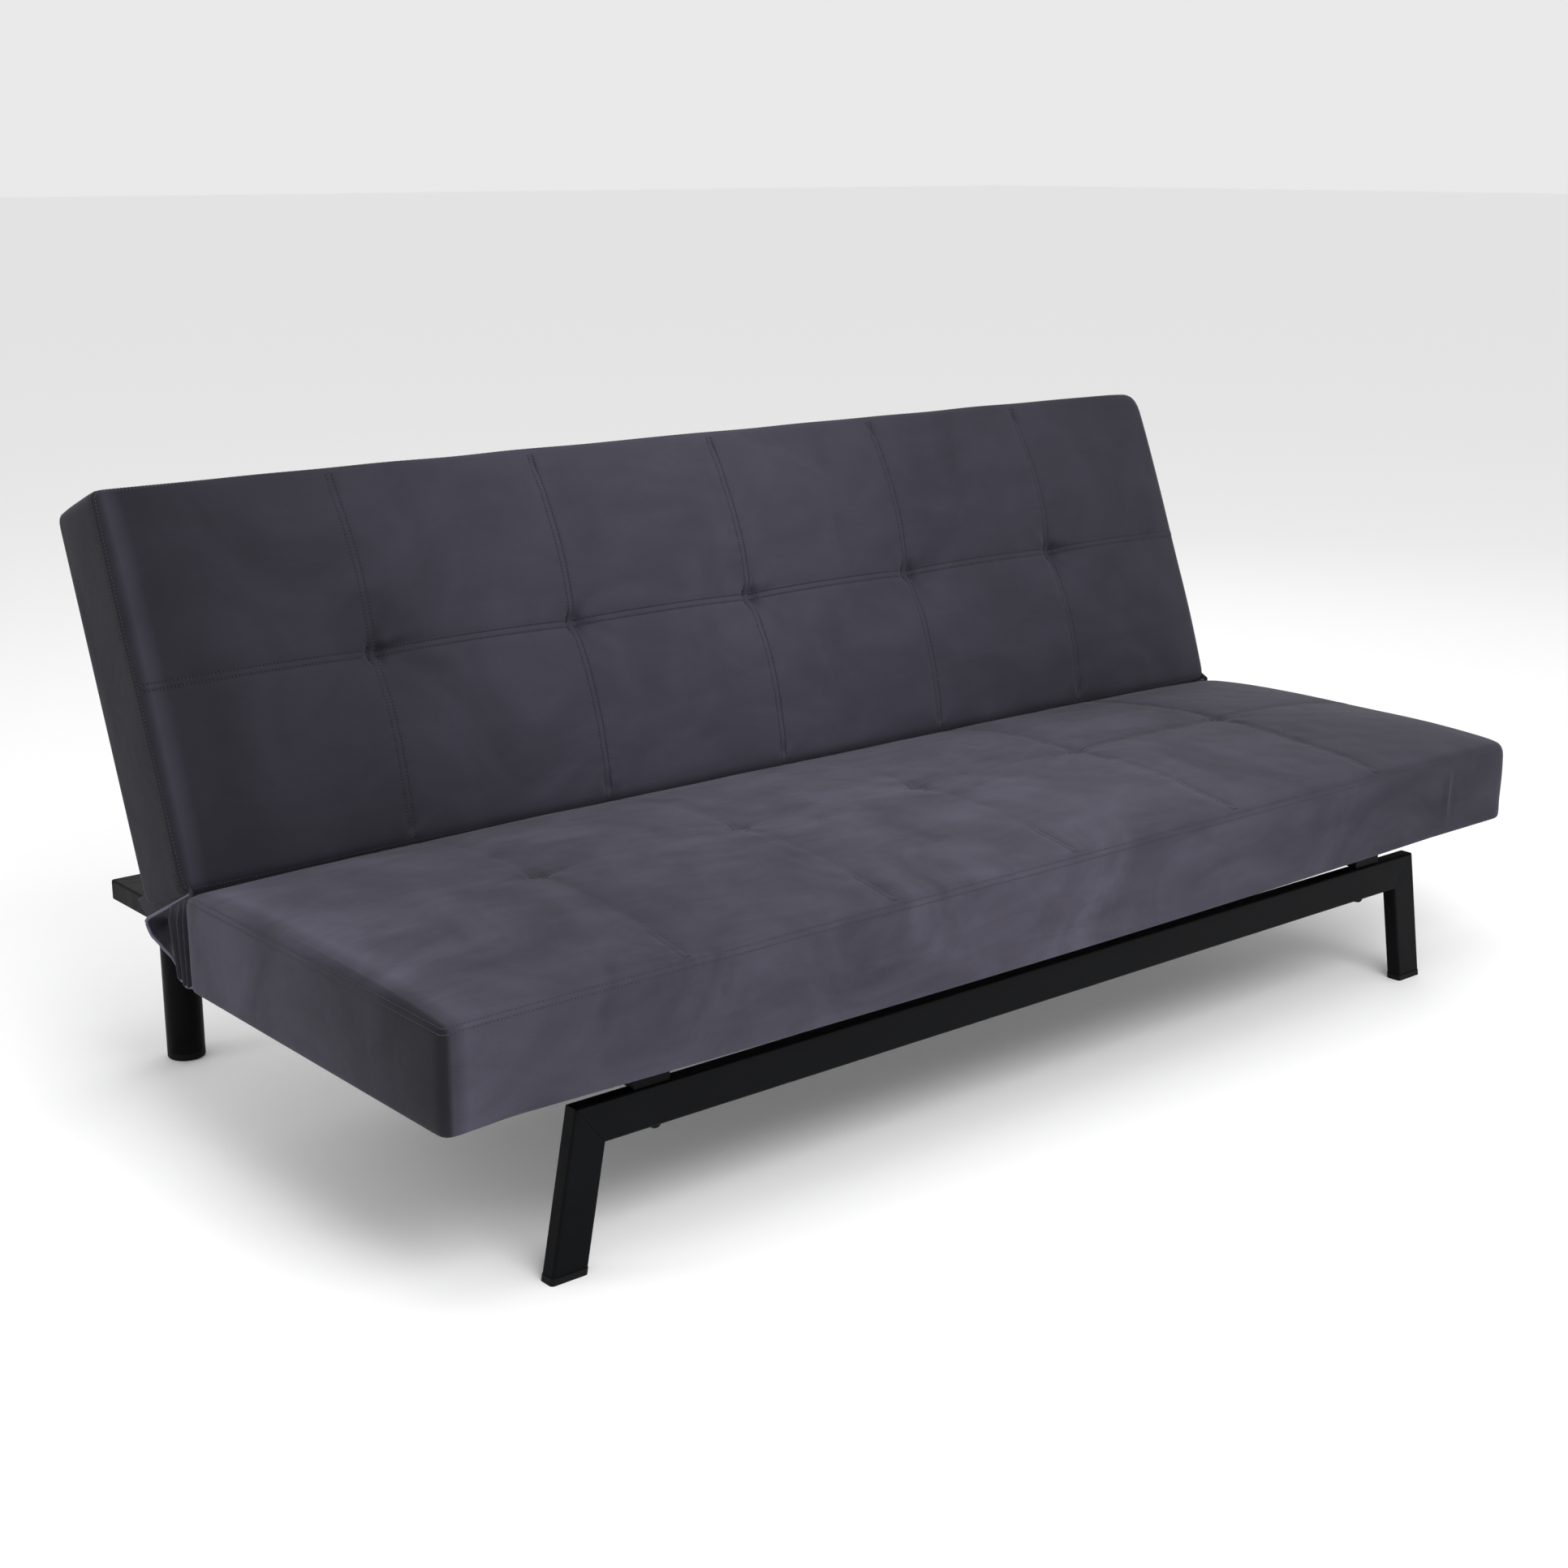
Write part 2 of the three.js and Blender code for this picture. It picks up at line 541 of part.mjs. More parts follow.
// Fabric that closes each end of the wedge between seat and back, drawn as the wedge at rest.
function gussets() {
  const clear = 2;
  const thickness = 5;
  const rearBelow = PAD * Math.sin(LEAN);
  const rearBehind = PAD * Math.cos(LEAN);
  const outline = [
    new THREE.Vector2(clear, -14),
    new THREE.Vector2(clear, clear - PAD),
    new THREE.Vector2(14, clear - PAD),
    new THREE.Vector2(rearBehind - 12, -rearBelow - 38),
    ...arc(rearBehind + 8, -rearBelow - 22, 12, -Math.PI / 3, Math.PI / 3, 5),
  ];
  for (const [name, side] of Object.entries(SIDES)) {
    const gusset = add(`gusset_${name}`, plate(outline, thickness), velvet());
    gusset.position.set(side * (LENGTH / 2 - 9), SEAT_REAR, SEAT_TOP);
  }
}

// ---- assembly ----
frontRail();
frontLegs();
baseRails();
rearArms();
rearLegs();
railBolts();
hingePosts();
seatArms();
backArms();
hingePins();
ratchets();
pawls();
gussets();

seat.position.set(0, FRONT, SEAT_BASE);
const seatSlots = armSlots(SEAT_ARM_X, SEAT_DEPTH - FRAME_INSET - 1, SEAT_DEPTH + 1);
panel("seat", SEAT_DEPTH, seatSlots, seat);

// The back's own frame has y = 0 on its front face and z = 0 at its lower end, so the panel in it is
// turned to stand on that end with its open side to the rear.
back.position.set(0, SEAT_REAR, SEAT_TOP);
back.rotation.x = -LEAN;
const backPanel = new THREE.Group();
backPanel.position.y = PAD;
backPanel.rotation.x = Math.PI / 2;
back.add(backPanel);
panel("back", BACK_HEIGHT, armSlots(BACK_ARM_X, -1, FRAME_INSET + 1), backPanel);

export default sofa;
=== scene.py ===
"""Looks of the futon sofa bed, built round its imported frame.

Metres, +X to the sitter's left, -Y to the front, +Z up. Both pads are made lying face up in a panel
frame (x along the sofa, y across the panel, z from its open side to its face) and then put in place.
"""
import json
import math

import bmesh
import bpy
import numpy as np
from mathutils import Matrix, Vector
from mathutils.bvhtree import BVHTree


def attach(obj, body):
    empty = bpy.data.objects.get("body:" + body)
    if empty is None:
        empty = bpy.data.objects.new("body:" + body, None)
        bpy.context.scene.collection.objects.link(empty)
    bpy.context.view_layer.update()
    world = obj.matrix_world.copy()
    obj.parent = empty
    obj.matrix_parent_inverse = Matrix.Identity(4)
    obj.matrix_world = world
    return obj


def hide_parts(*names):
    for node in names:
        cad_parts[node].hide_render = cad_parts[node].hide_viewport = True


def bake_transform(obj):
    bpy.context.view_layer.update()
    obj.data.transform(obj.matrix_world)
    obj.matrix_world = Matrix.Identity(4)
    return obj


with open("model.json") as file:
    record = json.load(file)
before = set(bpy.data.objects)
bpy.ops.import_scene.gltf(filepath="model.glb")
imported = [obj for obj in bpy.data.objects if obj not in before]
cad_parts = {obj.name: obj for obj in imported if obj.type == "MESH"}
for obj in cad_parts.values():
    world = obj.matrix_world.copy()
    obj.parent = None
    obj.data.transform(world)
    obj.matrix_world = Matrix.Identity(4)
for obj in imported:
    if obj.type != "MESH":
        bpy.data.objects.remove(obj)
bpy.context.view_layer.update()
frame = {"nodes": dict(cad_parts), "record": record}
MM = 0.001

# ---- the CAD's own numbers ----
HALF_LENGTH = 0.900
PAD = 0.112
SEAT_DEPTH = 0.565
BACK_HEIGHT = 0.487
EDGE = 0.014
UNDER_EDGE = 0.005
CORNER_LEFT, CORNER_RIGHT = 0.010, 0.026  # the cover is pulled tighter at its left end than at its right
STAPLE_LIP = 0.042
FRONT = -0.510
SEAT_BASE = 0.222
LEAN = math.radians(21.2)
APEX = Vector((0, FRONT + SEAT_DEPTH, SEAT_BASE + PAD))
SEAM_X = (-0.6, -0.3, 0.0, 0.3, 0.6)


# ---- camera ----
def make_camera():
    data = bpy.data.cameras.new("view")
    data.sensor_width = 36
    data.lens = 53.71
    camera = bpy.data.objects.new("view", data)
    bpy.context.scene.collection.objects.link(camera)
    camera.location = (-2.0304, -2.3827, 1.1685)
    camera.rotation_euler = (math.radians(90 - 15.12), 0, math.radians(-39.80))
    bpy.context.scene.camera = camera


# ---- lights and floor ----
FLOOR = 60  # half the side of the floor
WORLD_LIGHT = 0.82


def area_light(name, place, target, size, watts):
    data = bpy.data.lights.new(name, "AREA")
    data.shape = "RECTANGLE"
    data.size, data.size_y = size
    data.energy = watts
    light = bpy.data.objects.new(name, data)
    bpy.context.scene.collection.objects.link(light)
    light.location = place
    light.rotation_mode = "QUATERNION"
    light.rotation_quaternion = (Vector(target) - Vector(place)).to_track_quat("-Z", "Y")


def make_studio():
    scene = bpy.context.scene
    scene.view_settings.view_transform = "Standard"
    world = bpy.data.worlds.new("studio")
    scene.world = world
    world.use_nodes = True
    background = world.node_tree.nodes["Background"]
    background.inputs["Color"].default_value = (1, 1, 1, 1)
    background.inputs["Strength"].default_value = WORLD_LIGHT
    middle = (0, -0.1, 0.35)
    area_light("key", (-0.9, -2.7, 2.7), middle, (2.0, 1.4), 66)
    area_light("top", (-0.5, -0.3, 3.4), middle, (3.0, 2.2), 30)
    area_light("rim_right", (2.6, 1.9, 2.2), middle, (1.6, 1.6), 8)
    area_light("rim_left", (-3.1, 0.9, 1.7), (-0.7, 0, 0.4), (0.9, 1.4), 9)
    area_light("front", (0.6, -3.6, 0.8), (0.2, -0.5, 0.3), (1.3, 0.7), 24)

    corners = [(-FLOOR, -FLOOR, 0), (FLOOR, -FLOOR, 0), (FLOOR, FLOOR, 0), (-FLOOR, FLOOR, 0)]
    mesh = bpy.data.meshes.new("floor")
    mesh.from_pydata(corners, [], [(0, 1, 2, 3)])
    floor = bpy.data.objects.new("floor", mesh)
    scene.collection.objects.link(floor)
    paint = Finish("floor_paint", (0.93, 0.93, 0.93), 0.7)
    paint.bump(paint.noise(40, 2), 0.0004)
    mesh.materials.append(paint.material)


# ---- materials ----
class Finish:
    """A procedural material: a Principled shader, with noise and bump built up on it."""

    def __init__(self, name, colour, roughness, **values):
        self.material = bpy.data.materials.new(name)
        self.material.use_nodes = True
        self.tree = self.material.node_tree
        self.shader = self.tree.nodes["Principled BSDF"]
        self.shader.inputs["Base Color"].default_value = (*colour, 1)
        self.shader.inputs["Roughness"].default_value = roughness
        for socket, value in values.items():
            self.shader.inputs[socket.replace("_", " ")].default_value = value
        self.place = self.tree.nodes.new("ShaderNodeTexCoord").outputs["Object"]
        self.normal = None

    def stretched(self, scale, turn=(0, 0, 0)):
        mapping = self.tree.nodes.new("ShaderNodeMapping")
        mapping.inputs["Scale"].default_value = scale
        mapping.inputs["Rotation"].default_value = turn
        self.tree.links.new(self.place, mapping.inputs["Vector"])
        return mapping.outputs["Vector"]

    def noise(self, scale, detail=2, roughness=0.5, distortion=0, place=None):
        node = self.tree.nodes.new("ShaderNodeTexNoise")
        node.inputs["Scale"].default_value = scale
        node.inputs["Detail"].default_value = detail
        node.inputs["Roughness"].default_value = roughness
        node.inputs["Distortion"].default_value = distortion
        self.tree.links.new(place or self.place, node.inputs["Vector"])
        return node.outputs["Fac"]

    def cells(self, scale, place=None):
        node = self.tree.nodes.new("ShaderNodeTexVoronoi")
        node.inputs["Scale"].default_value = scale
        self.tree.links.new(place or self.place, node.inputs["Vector"])
        return node.outputs["Distance"]

    def ranged(self, value, low, high, new_low, new_high):
        node = self.tree.nodes.new("ShaderNodeMapRange")
        self.tree.links.new(value, node.inputs["Value"])
        sockets = ("From Min", "From Max", "To Min", "To Max")
        for socket, number in zip(sockets, (low, high, new_low, new_high)):
            node.inputs[socket].default_value = number
        return node.outputs["Result"]

    def ramp(self, value, stops):
        node = self.tree.nodes.new("ShaderNodeValToRGB")
        self.tree.links.new(value, node.inputs["Fac"])
        elements = node.color_ramp.elements
        while len(elements) < len(stops):
            elements.new(0.5)
        for element, (position, colour) in zip(elements, stops):
            element.position = position
            element.color = (*colour, 1)
        return node.outputs["Color"]

    def times(self, first, second):
        node = self.tree.nodes.new("ShaderNodeMix")
        node.data_type = "RGBA"
        node.blend_type = "MULTIPLY"
        node.inputs["Factor"].default_value = 1
        self.tree.links.new(first, node.inputs["A"])
        self.tree.links.new(second, node.inputs["B"])
        return node.outputs["Result"]

    def added(self, first, second, share):
        node = self.tree.nodes.new("ShaderNodeMath")
        node.operation = "MULTIPLY_ADD"
        self.tree.links.new(second, node.inputs[0])
        node.inputs[1].default_value = share
        self.tree.links.new(first, node.inputs[2])
        return node.outputs["Value"]

    def greatest(self, first, second):
        node = self.tree.nodes.new("ShaderNodeMath")
        node.operation = "MAXIMUM"
        self.tree.links.new(first, node.inputs[0])
        self.tree.links.new(second, node.inputs[1])
        return node.outputs["Value"]

    def paint(self, colour):
        self.tree.links.new(colour, self.shader.inputs["Base Color"])

    def rough(self, value, low, high):
        self.tree.links.new(self.ranged(value, 0.3, 0.7, low, high), self.shader.inputs["Roughness"])

    def bump(self, height, distance, strength=1.0):
        node = self.tree.nodes.new("ShaderNodeBump")
        node.inputs["Distance"].default_value = distance
        node.inputs["Strength"].default_value = strength
        self.tree.links.new(height, node.inputs["Height"])
        if self.normal:
            self.tree.links.new(self.normal, node.inputs["Normal"])
        self.normal = node.outputs["Normal"]
        self.tree.links.new(self.normal, self.shader.inputs["Normal"])


# Painted light and shade along each pad and across its left edge, as (place, factor) stops: the velvet's
# colour is raised where more light falls and lowered where it lies in shade.
SEAT_PAINTED_SHADING = ((0, 0.87), (0.16, 0.81), (0.32, 0.96), (0.50, 1.12), (0.70, 0.92), (0.85, 0.63), (1, 0.59))
SEAT_EDGE_HIGHLIGHT = ((0.14, 1.0), (0.24, 1.5), (0.45, 1.22), (0.9, 1.0))
BACK_EDGE_HIGHLIGHT_AND_SHADE = ((0.04, 0.75), (0.09, 0.9), (0.14, 1.55), (0.20, 1.3), (0.28, 0.86), (0.60, 0.86), (0.95, 1.0))
BACK_PAINTED_SHADING = ((0, 0.53), (0.14, 0.64), (0.30, 1.02), (0.50, 1.22), (0.75, 0.85), (1, 0.71))

WANDER = 0.30  # how far the edges of the painted light and shade stray along the sofa


def shade(colour, factor):
    return tuple(c * factor for c in colour)


def velvet(name, colour, depth=1.0, contrast=1.0, painted_shading=SEAT_PAINTED_SHADING):
    """Short pile: brushed patches of lighter and darker nap, fine fibres and a soft sheen.

    The last argument gives the painted light and shade along the piece, as (place, factor) stops.
    """
    f = Finish(name, colour, 0.88, Sheen_Weight=0.11, Sheen_Roughness=0.40, Specular_IOR_Level=0.12)
    f.shader.inputs["Sheen Tint"].default_value = (0.80, 0.79, 0.92, 1)
    patches = f.noise(5.5, 4, 0.55, 1.4)
    strokes = f.noise(1, 3, 0.6, 0.6, f.stretched((7, 26, 26), (0.3, 0.2, 0.5)))
    nap = f.added(patches, strokes, 0.55)
    dark, light = 1 - 0.30 * contrast, 1 + 0.34 * contrast
    tone = f.ramp(nap, [(0.50, (dark, dark, dark)), (0.74, (1, 1, 1)), (0.98, (light, light, light))])
    split = f.tree.nodes.new("ShaderNodeSeparateXYZ")
    f.tree.links.new(f.place, split.inputs["Vector"])
    along = f.added(split.outputs["X"], f.noise(3.2, 3, 0.6, 1.0), WANDER)
    along = f.ranged(along, WANDER / 2 - HALF_LENGTH, WANDER / 2 + HALF_LENGTH, 0, 1)
    # Painted light and shade: the velvet's colour is scaled along the pad by those stops.
    tone = f.times(tone, f.ramp(along, [(place, (k, k, k * 0.98)) for place, k in painted_shading]))
    # Painted highlight on the rounded left edge; on the back also painted shade on its end wall and in a band
    # just inside the edge.
    edge = f.ranged(split.outputs["X"], -0.915, -0.765, 0, 1)
    edge_highlight_and_shade = SEAT_EDGE_HIGHLIGHT if painted_shading is SEAT_PAINTED_SHADING else BACK_EDGE_HIGHLIGHT_AND_SHADE
    tone = f.times(tone, f.ramp(edge, [(place, (k, k, k)) for place, k in edge_highlight_and_shade]))
    # Painted shade on the seat: its left end wall darkens towards the front, and the front wall darkens next
    # to the left corner.
    if painted_shading is SEAT_PAINTED_SHADING:
        inside = f.ranged(split.outputs["X"], -0.906, -0.897, 0, 1)
        front = f.ranged(split.outputs["Y"], -0.50, -0.10, 0.36, 1)
        tone = f.times(tone, f.greatest(inside, front))
        behind = f.ranged(split.outputs["Y"], -0.500, -0.370, 0, 1)
        rightward = f.ranged(split.outputs["X"], -0.880, -0.640, 0.74, 1)
        tone = f.times(tone, f.greatest(behind, rightward))
    fibres = f.noise(1900, 2, 0.6)
    grain = f.ramp(fibres, [(0.3, shade(colour, 0.84)), (0.7, shade(colour, 1.16))])
    f.paint(f.times(grain, tone))
    f.rough(strokes, 0.82, 0.94)
    f.bump(nap, 0.0022 * depth, 0.5)
    f.bump(fibres, 0.00035, 0.6)
    return f.material


def powder_coat(name, colour):
    """Satin black paint on steel, with its fine orange peel and faint handling marks."""
    f = Finish(name, colour, 0.42, Specular_IOR_Level=0.045)
    peel = f.noise(520, 3, 0.55)
    marks = f.noise(14, 5, 0.65, 0.8)
    f.paint(f.ramp(f.added(marks, peel, 0.3), [(0.45, shade(colour, 0.8)), (0.95, shade(colour, 1.35))]))
    f.rough(marks, 0.34, 0.52)
    f.bump(peel, 0.00016, 0.7)
    return f.material


def zinc(name):
    """Bright zinc plate: drawn streaks, with cloudy patches in the passivation."""
    f = Finish(name, (0.55, 0.56, 0.58), 0.3, Metallic=1.0)
    streaks = f.noise(1, 3, 0.6, 0, f.stretched((60, 1400, 60), (0.4, 0, 0)))
    clouds = f.noise(70, 3, 0.6, 0.7)
    tones = [(0.3, (0.47, 0.48, 0.50)), (0.6, (0.60, 0.60, 0.60)), (0.8, (0.63, 0.61, 0.55))]
    f.paint(f.ramp(clouds, tones))
    f.rough(f.added(clouds, streaks, 0.4), 0.24, 0.40)
    f.bump(streaks, 0.00006, 0.6)
    return f.material


def moulded_plastic(name):
    """Black moulded plastic with a spark-eroded surface."""
    f = Finish(name, (0.004, 0.004, 0.0045), 0.55, Specular_IOR_Level=0.08)
    pits = f.noise(1500, 3, 0.7)
    f.paint(f.ramp(f.noise(30, 3), [(0.3, (0.0032, 0.0032, 0.0036)), (0.7, (0.0052, 0.0052, 0.0056))]))
    f.rough(pits, 0.48, 0.64)
    f.bump(pits, 0.00012, 0.8)
    return f.material


def beech(name):
    """Pale hardwood with its grain along the slat."""
    f = Finish(name, (0.52, 0.36, 0.20), 0.6)
    grain = f.noise(1, 5, 0.6, 0.5, f.stretched((160, 6, 160)))
    flecks = f.noise(1, 2, 0.5, 0, f.stretched((900, 70, 900)))
    tones = [(0.40, (0.36, 0.22, 0.11)), (0.62, (0.54, 0.38, 0.21)), (0.85, (0.64, 0.47, 0.28))]
    f.paint(f.ramp(f.added(grain, flecks, 0.25), tones))
    f.rough(grain, 0.5, 0.68)
    f.bump(flecks, 0.0001, 0.6)
    return f.material


def foam_block(name):
    f = Finish(name, (0.72, 0.66, 0.48), 0.9)
    cells = f.cells(900)
    f.paint(f.ramp(cells, [(0.0, (0.50, 0.44, 0.29)), (0.5, (0.76, 0.70, 0.52))]))
    f.bump(cells, 0.0006, 0.8)
    return f.material


def bonded_cloth(name):
    """Spun-bonded dust cloth: fine felted fibres under a grid of pressed dots."""
    f = Finish(name, (0.016, 0.016, 0.018), 0.9, Sheen_Weight=0.12)
    fibres = f.noise(1, 3, 0.7, 1.0, f.stretched((700, 1100, 900), (0, 0, 0.6)))
    dots = f.cells(420)
    tones = [(0.3, (0.011, 0.011, 0.012)), (0.55, (0.020, 0.020, 0.022)), (0.8, (0.034, 0.034, 0.037))]
    f.paint(f.ramp(fibres, tones))
    f.rough(fibres, 0.82, 0.96)
    f.bump(dots, 0.0003, 0.6)
    f.bump(fibres, 0.0003, 0.7)
    return f.material


def thread(name, colour):
    f = Finish(name, colour, 0.7, Sheen_Weight=0.2)
    twist = f.noise(1, 2, 0.5, 0, f.stretched((2600, 2600, 2600), (0.7, 0.4, 0.2)))
    f.paint(f.ramp(twist, [(0.35, shade(colour, 0.6)), (0.7, shade(colour, 1.4))]))
    f.bump(twist, 0.0002, 0.8)
    return f.material


# ---- mesh helpers ----
def new_object(name, points, faces, materials):
    mesh = bpy.data.meshes.new(name)
    mesh.from_pydata([tuple(p) for p in points], [], faces)
    for material in materials:
        mesh.materials.append(material)
    mesh.polygons.foreach_set("use_smooth", [True] * len(mesh.polygons))
    obj = bpy.data.objects.new(name, mesh)
    bpy.context.scene.collection.objects.link(obj)
    return obj


def coordinates(mesh):
    co = np.empty(len(mesh.vertices) * 3)
    mesh.vertices.foreach_get("co", co)
    return co.reshape(-1, 3)


def set_coordinates(mesh, co):
    mesh.vertices.foreach_set("co", np.ascontiguousarray(co, dtype=np.float32).ravel())
    mesh.update()


def normals(mesh):
    n = np.empty(len(mesh.vertices) * 3)
    mesh.vertex_normals.foreach_get("vector", n)
    return n.reshape(-1, 3)


def applied(obj):
    """Replaces an object's mesh by what its modifiers make of it."""
    shown = obj.evaluated_get(bpy.context.evaluated_depsgraph_get())
    mesh = bpy.data.meshes.new_from_object(shown)
    obj.modifiers.clear()
    obj.data = mesh
    return obj


def closed_rings(start, rings, sides):
    """Faces that join rings of points, each to the next, and close the first and the last."""
    faces = []
    for a in range(start, start + (rings - 1) * sides, sides):
        for k in range(sides):
            m = (k + 1) % sides
            faces.append((a + k, a + m, a + sides + m, a + sides + k))
    faces.append(tuple(start + k for k in range(sides - 1, -1, -1)))
    faces.append(tuple(start + (rings - 1) * sides + k for k in range(sides)))
    return faces


def smoothstep(t):
    t = np.clip(t, 0, 1)
    return t * t * (3 - 2 * t)


# ---- pads ----
JOINT_PRESS = 0.0035  # how far each pad gives where the other one leans on it
TUFT_REACH = 0.062  # how far round a tuft the face is drawn down
SEAM_REACH = 0.022
SWELL_FROM, SWELL_OVER = 0.66, 0.24  # where the swelling of the ends starts, and over what length it grows


class Panel:
    """One pad in its own frame, y measured from the middle of the panel."""

    def __init__(self, name, across, place, seam_y, joint_side, seed, **shape):
        self.name, self.across, self.place, self.seam_y = name, across, place, seam_y
        self.half = across / 2
        self.joint_side = joint_side  # the long side that faces the other pad: +1 or -1
        self.crown, self.bow, self.puff = shape["crown"], shape["bow"], shape["puff"]
        self.tuft_dip, self.seam_dip, self.folds = shape["tuft_dip"], shape["seam_dip"], shape["folds"]
        self.end_drop, self.hem, self.sag = shape["end_drop"], shape["hem"], shape["sag"]
        self.swell_left, self.swell_right = shape["swell_left"], shape["swell_right"]
        self.random = np.random.default_rng(seed)
        self.tufts = [(x, seam_y) for x in SEAM_X]

    def corner(self, x, y):
        """The radius of a corner: tight at the left end and at the joint, soft at the free right corner."""
        tight = (np.asarray(x) < 0) | (np.asarray(y) * self.joint_side > 0)
        return np.where(tight, CORNER_LEFT, CORNER_RIGHT)

    def height(self, x, y):
        """How far the face stands above the level of the pad's corners."""
        u, v = np.abs(x) / HALF_LENGTH, np.abs(y) / self.half
        rise = self.bow * (1 - np.clip(u, 0, 1) ** 4 * np.clip(v, 0, 1) ** 4)
        rise = rise + self.crown * (1 - np.clip(u, 0, 1) ** 7) * (1 - np.clip(v, 0, 1) ** 2.2)
        inside = (1 - np.clip(u, 0, 1) ** 7) * (1 - np.clip(v, 0, 1) ** 4)
        for tx, ty in self.tufts:
            near = np.hypot((x - tx) / 1.15, y - ty)
            rise = rise - inside * self.tuft_dip * np.exp(-((near / TUFT_REACH) ** 1.5))
        seam = np.exp(-np.abs(y - self.seam_y) / SEAM_REACH)
        for tx in SEAM_X:
            seam = np.maximum(seam, np.exp(-np.abs(x - tx) / SEAM_REACH))
        slump = self.end_drop * smoothstep((x - 0.835) / 0.065) ** 2
        return rise - inside * self.seam_dip * seam * self.shows(x, y) - slump

    def shows(self, x, y):
        """How far a seam stands out, 0 to 1: the seat's pile hides its seams behind and to the left."""
        if self.name == "back":
            return np.ones_like(x)
        front = smoothstep((-y / self.half - 0.62) / 0.2)
        right = smoothstep((x - 0.05) / 0.40)
        tuft = sum(np.exp(-((np.hypot(x - tx, y - ty) / 0.040) ** 2)) for tx, ty in self.tufts)
        return np.clip(0.10 + 0.75 * front + 0.60 * right + 0.6 * tuft, 0, 1)

    def settled(self, co):
        """The filling pushes the ends of the cover out, and the other pad presses the joint side in."""
        x, y = co[:, 0], co[:, 1]
        left = self.swell_left * smoothstep((-x - SWELL_FROM) / SWELL_OVER)
        right = self.swell_right * smoothstep((x - SWELL_FROM) / SWELL_OVER)
        pressed = JOINT_PRESS * (1 - smoothstep((np.abs(x) - 0.62) / 0.16))
        pressed = pressed * smoothstep((y * self.joint_side - self.half + 0.035) / 0.030)
        return np.column_stack([x + right - left, y - self.joint_side * pressed, co[:, 2]])

    def hung(self, co):
        """The hem of the cover hangs a little below the frame, most along the middle of the free side."""
        x, y, z = co[:, 0], co[:, 1], co[:, 2]
        inward = np.minimum(HALF_LENGTH - np.abs(x), self.half - np.abs(y))
        lip = 1 - smoothstep((inward - 0.006) / 0.020)
        free = smoothstep((-y * self.joint_side - self.half + 0.05) / 0.05)
        corner = smoothstep((x + 0.90) / 0.10) * free
        drop = self.hem * (1 - 0.55 * corner)
        drop = drop + self.sag * free * np.clip(1 - ((x + 0.05) / 0.78) ** 2, 0, 1)
        co[:, 2] = z - drop * lip * (1 - smoothstep(z / 0.07))
        return co


SEAM_LINES = (0, 0.0040, 0.0080, 0.0130)  # the grid's extra lines on each side of a seam


def grid_lines(low, high, seams, cell):
    fixed = {low, high}
    for seam in seams:
        for off in SEAM_LINES:
            fixed |= {seam - off, seam + off}
    fixed = sorted(fixed)
    lines = [fixed[0]]
    for a, b in zip(fixed, fixed[1:]):
        count = max(1, round((b - a) / cell))
        lines += [a + (b - a) * (k + 1) / count for k in range(count)]
    return np.array(lines)


def rounded_corner(x, y, half_x, half_y, radius):
    """Pulls points of a rectangle in so that its corners are round."""
    dx, dy = np.abs(x) - (half_x - radius), np.abs(y) - (half_y - radius)
    corner = (dx > 0) & (dy > 0)
    scale = np.where(corner, np.maximum(dx, dy) / np.maximum(np.hypot(dx, dy), 1e-9), 1)
    rx = np.where(corner, np.sign(x) * (half_x - radius + dx * scale), x)
    ry = np.where(corner, np.sign(y) * (half_y - radius + dy * scale), y)
    return rx, ry


UNDERSIDE = 0.0012  # the cover's turned-under edge lies this far above the CAD's open side
SOFT_EDGE, CRISP_EDGE = 2.0, 3.6  # how square the rounding of an edge is: 2 is a quarter circle
CELL = 0.0105  # the grid's spacing before it is subdivided
PUFF_FRAMES = 20
WALL_SHARE = 0.3  # how much of the face's swelling the walls get


def pad_profile():
    """Each ring from the face's edge down and under, as (angle, distance in, height).

    On the rounding of the face's edge only the angle is given, and below it the angle is None.
    """
    rings = [(math.pi / 2 * (1 - k / 4), None, None) for k in (1, 2, 3, 4)]
    wall = PAD - EDGE - UNDER_EDGE
    rings += [(None, 0, PAD - EDGE - wall * k / 7) for k in range(1, 8)]
    for k in (1, 2):
        angle = math.pi / 2 * k / 2
        fall = (UNDER_EDGE - UNDERSIDE) * math.sin(angle)
        rings.append((None, UNDER_EDGE * (1 - math.cos(angle)), UNDER_EDGE - fall))
    rings += [(None, 0.027, UNDERSIDE), (None, STAPLE_LIP, UNDERSIDE), (None, STAPLE_LIP + 0.001, 0.006)]
    return rings


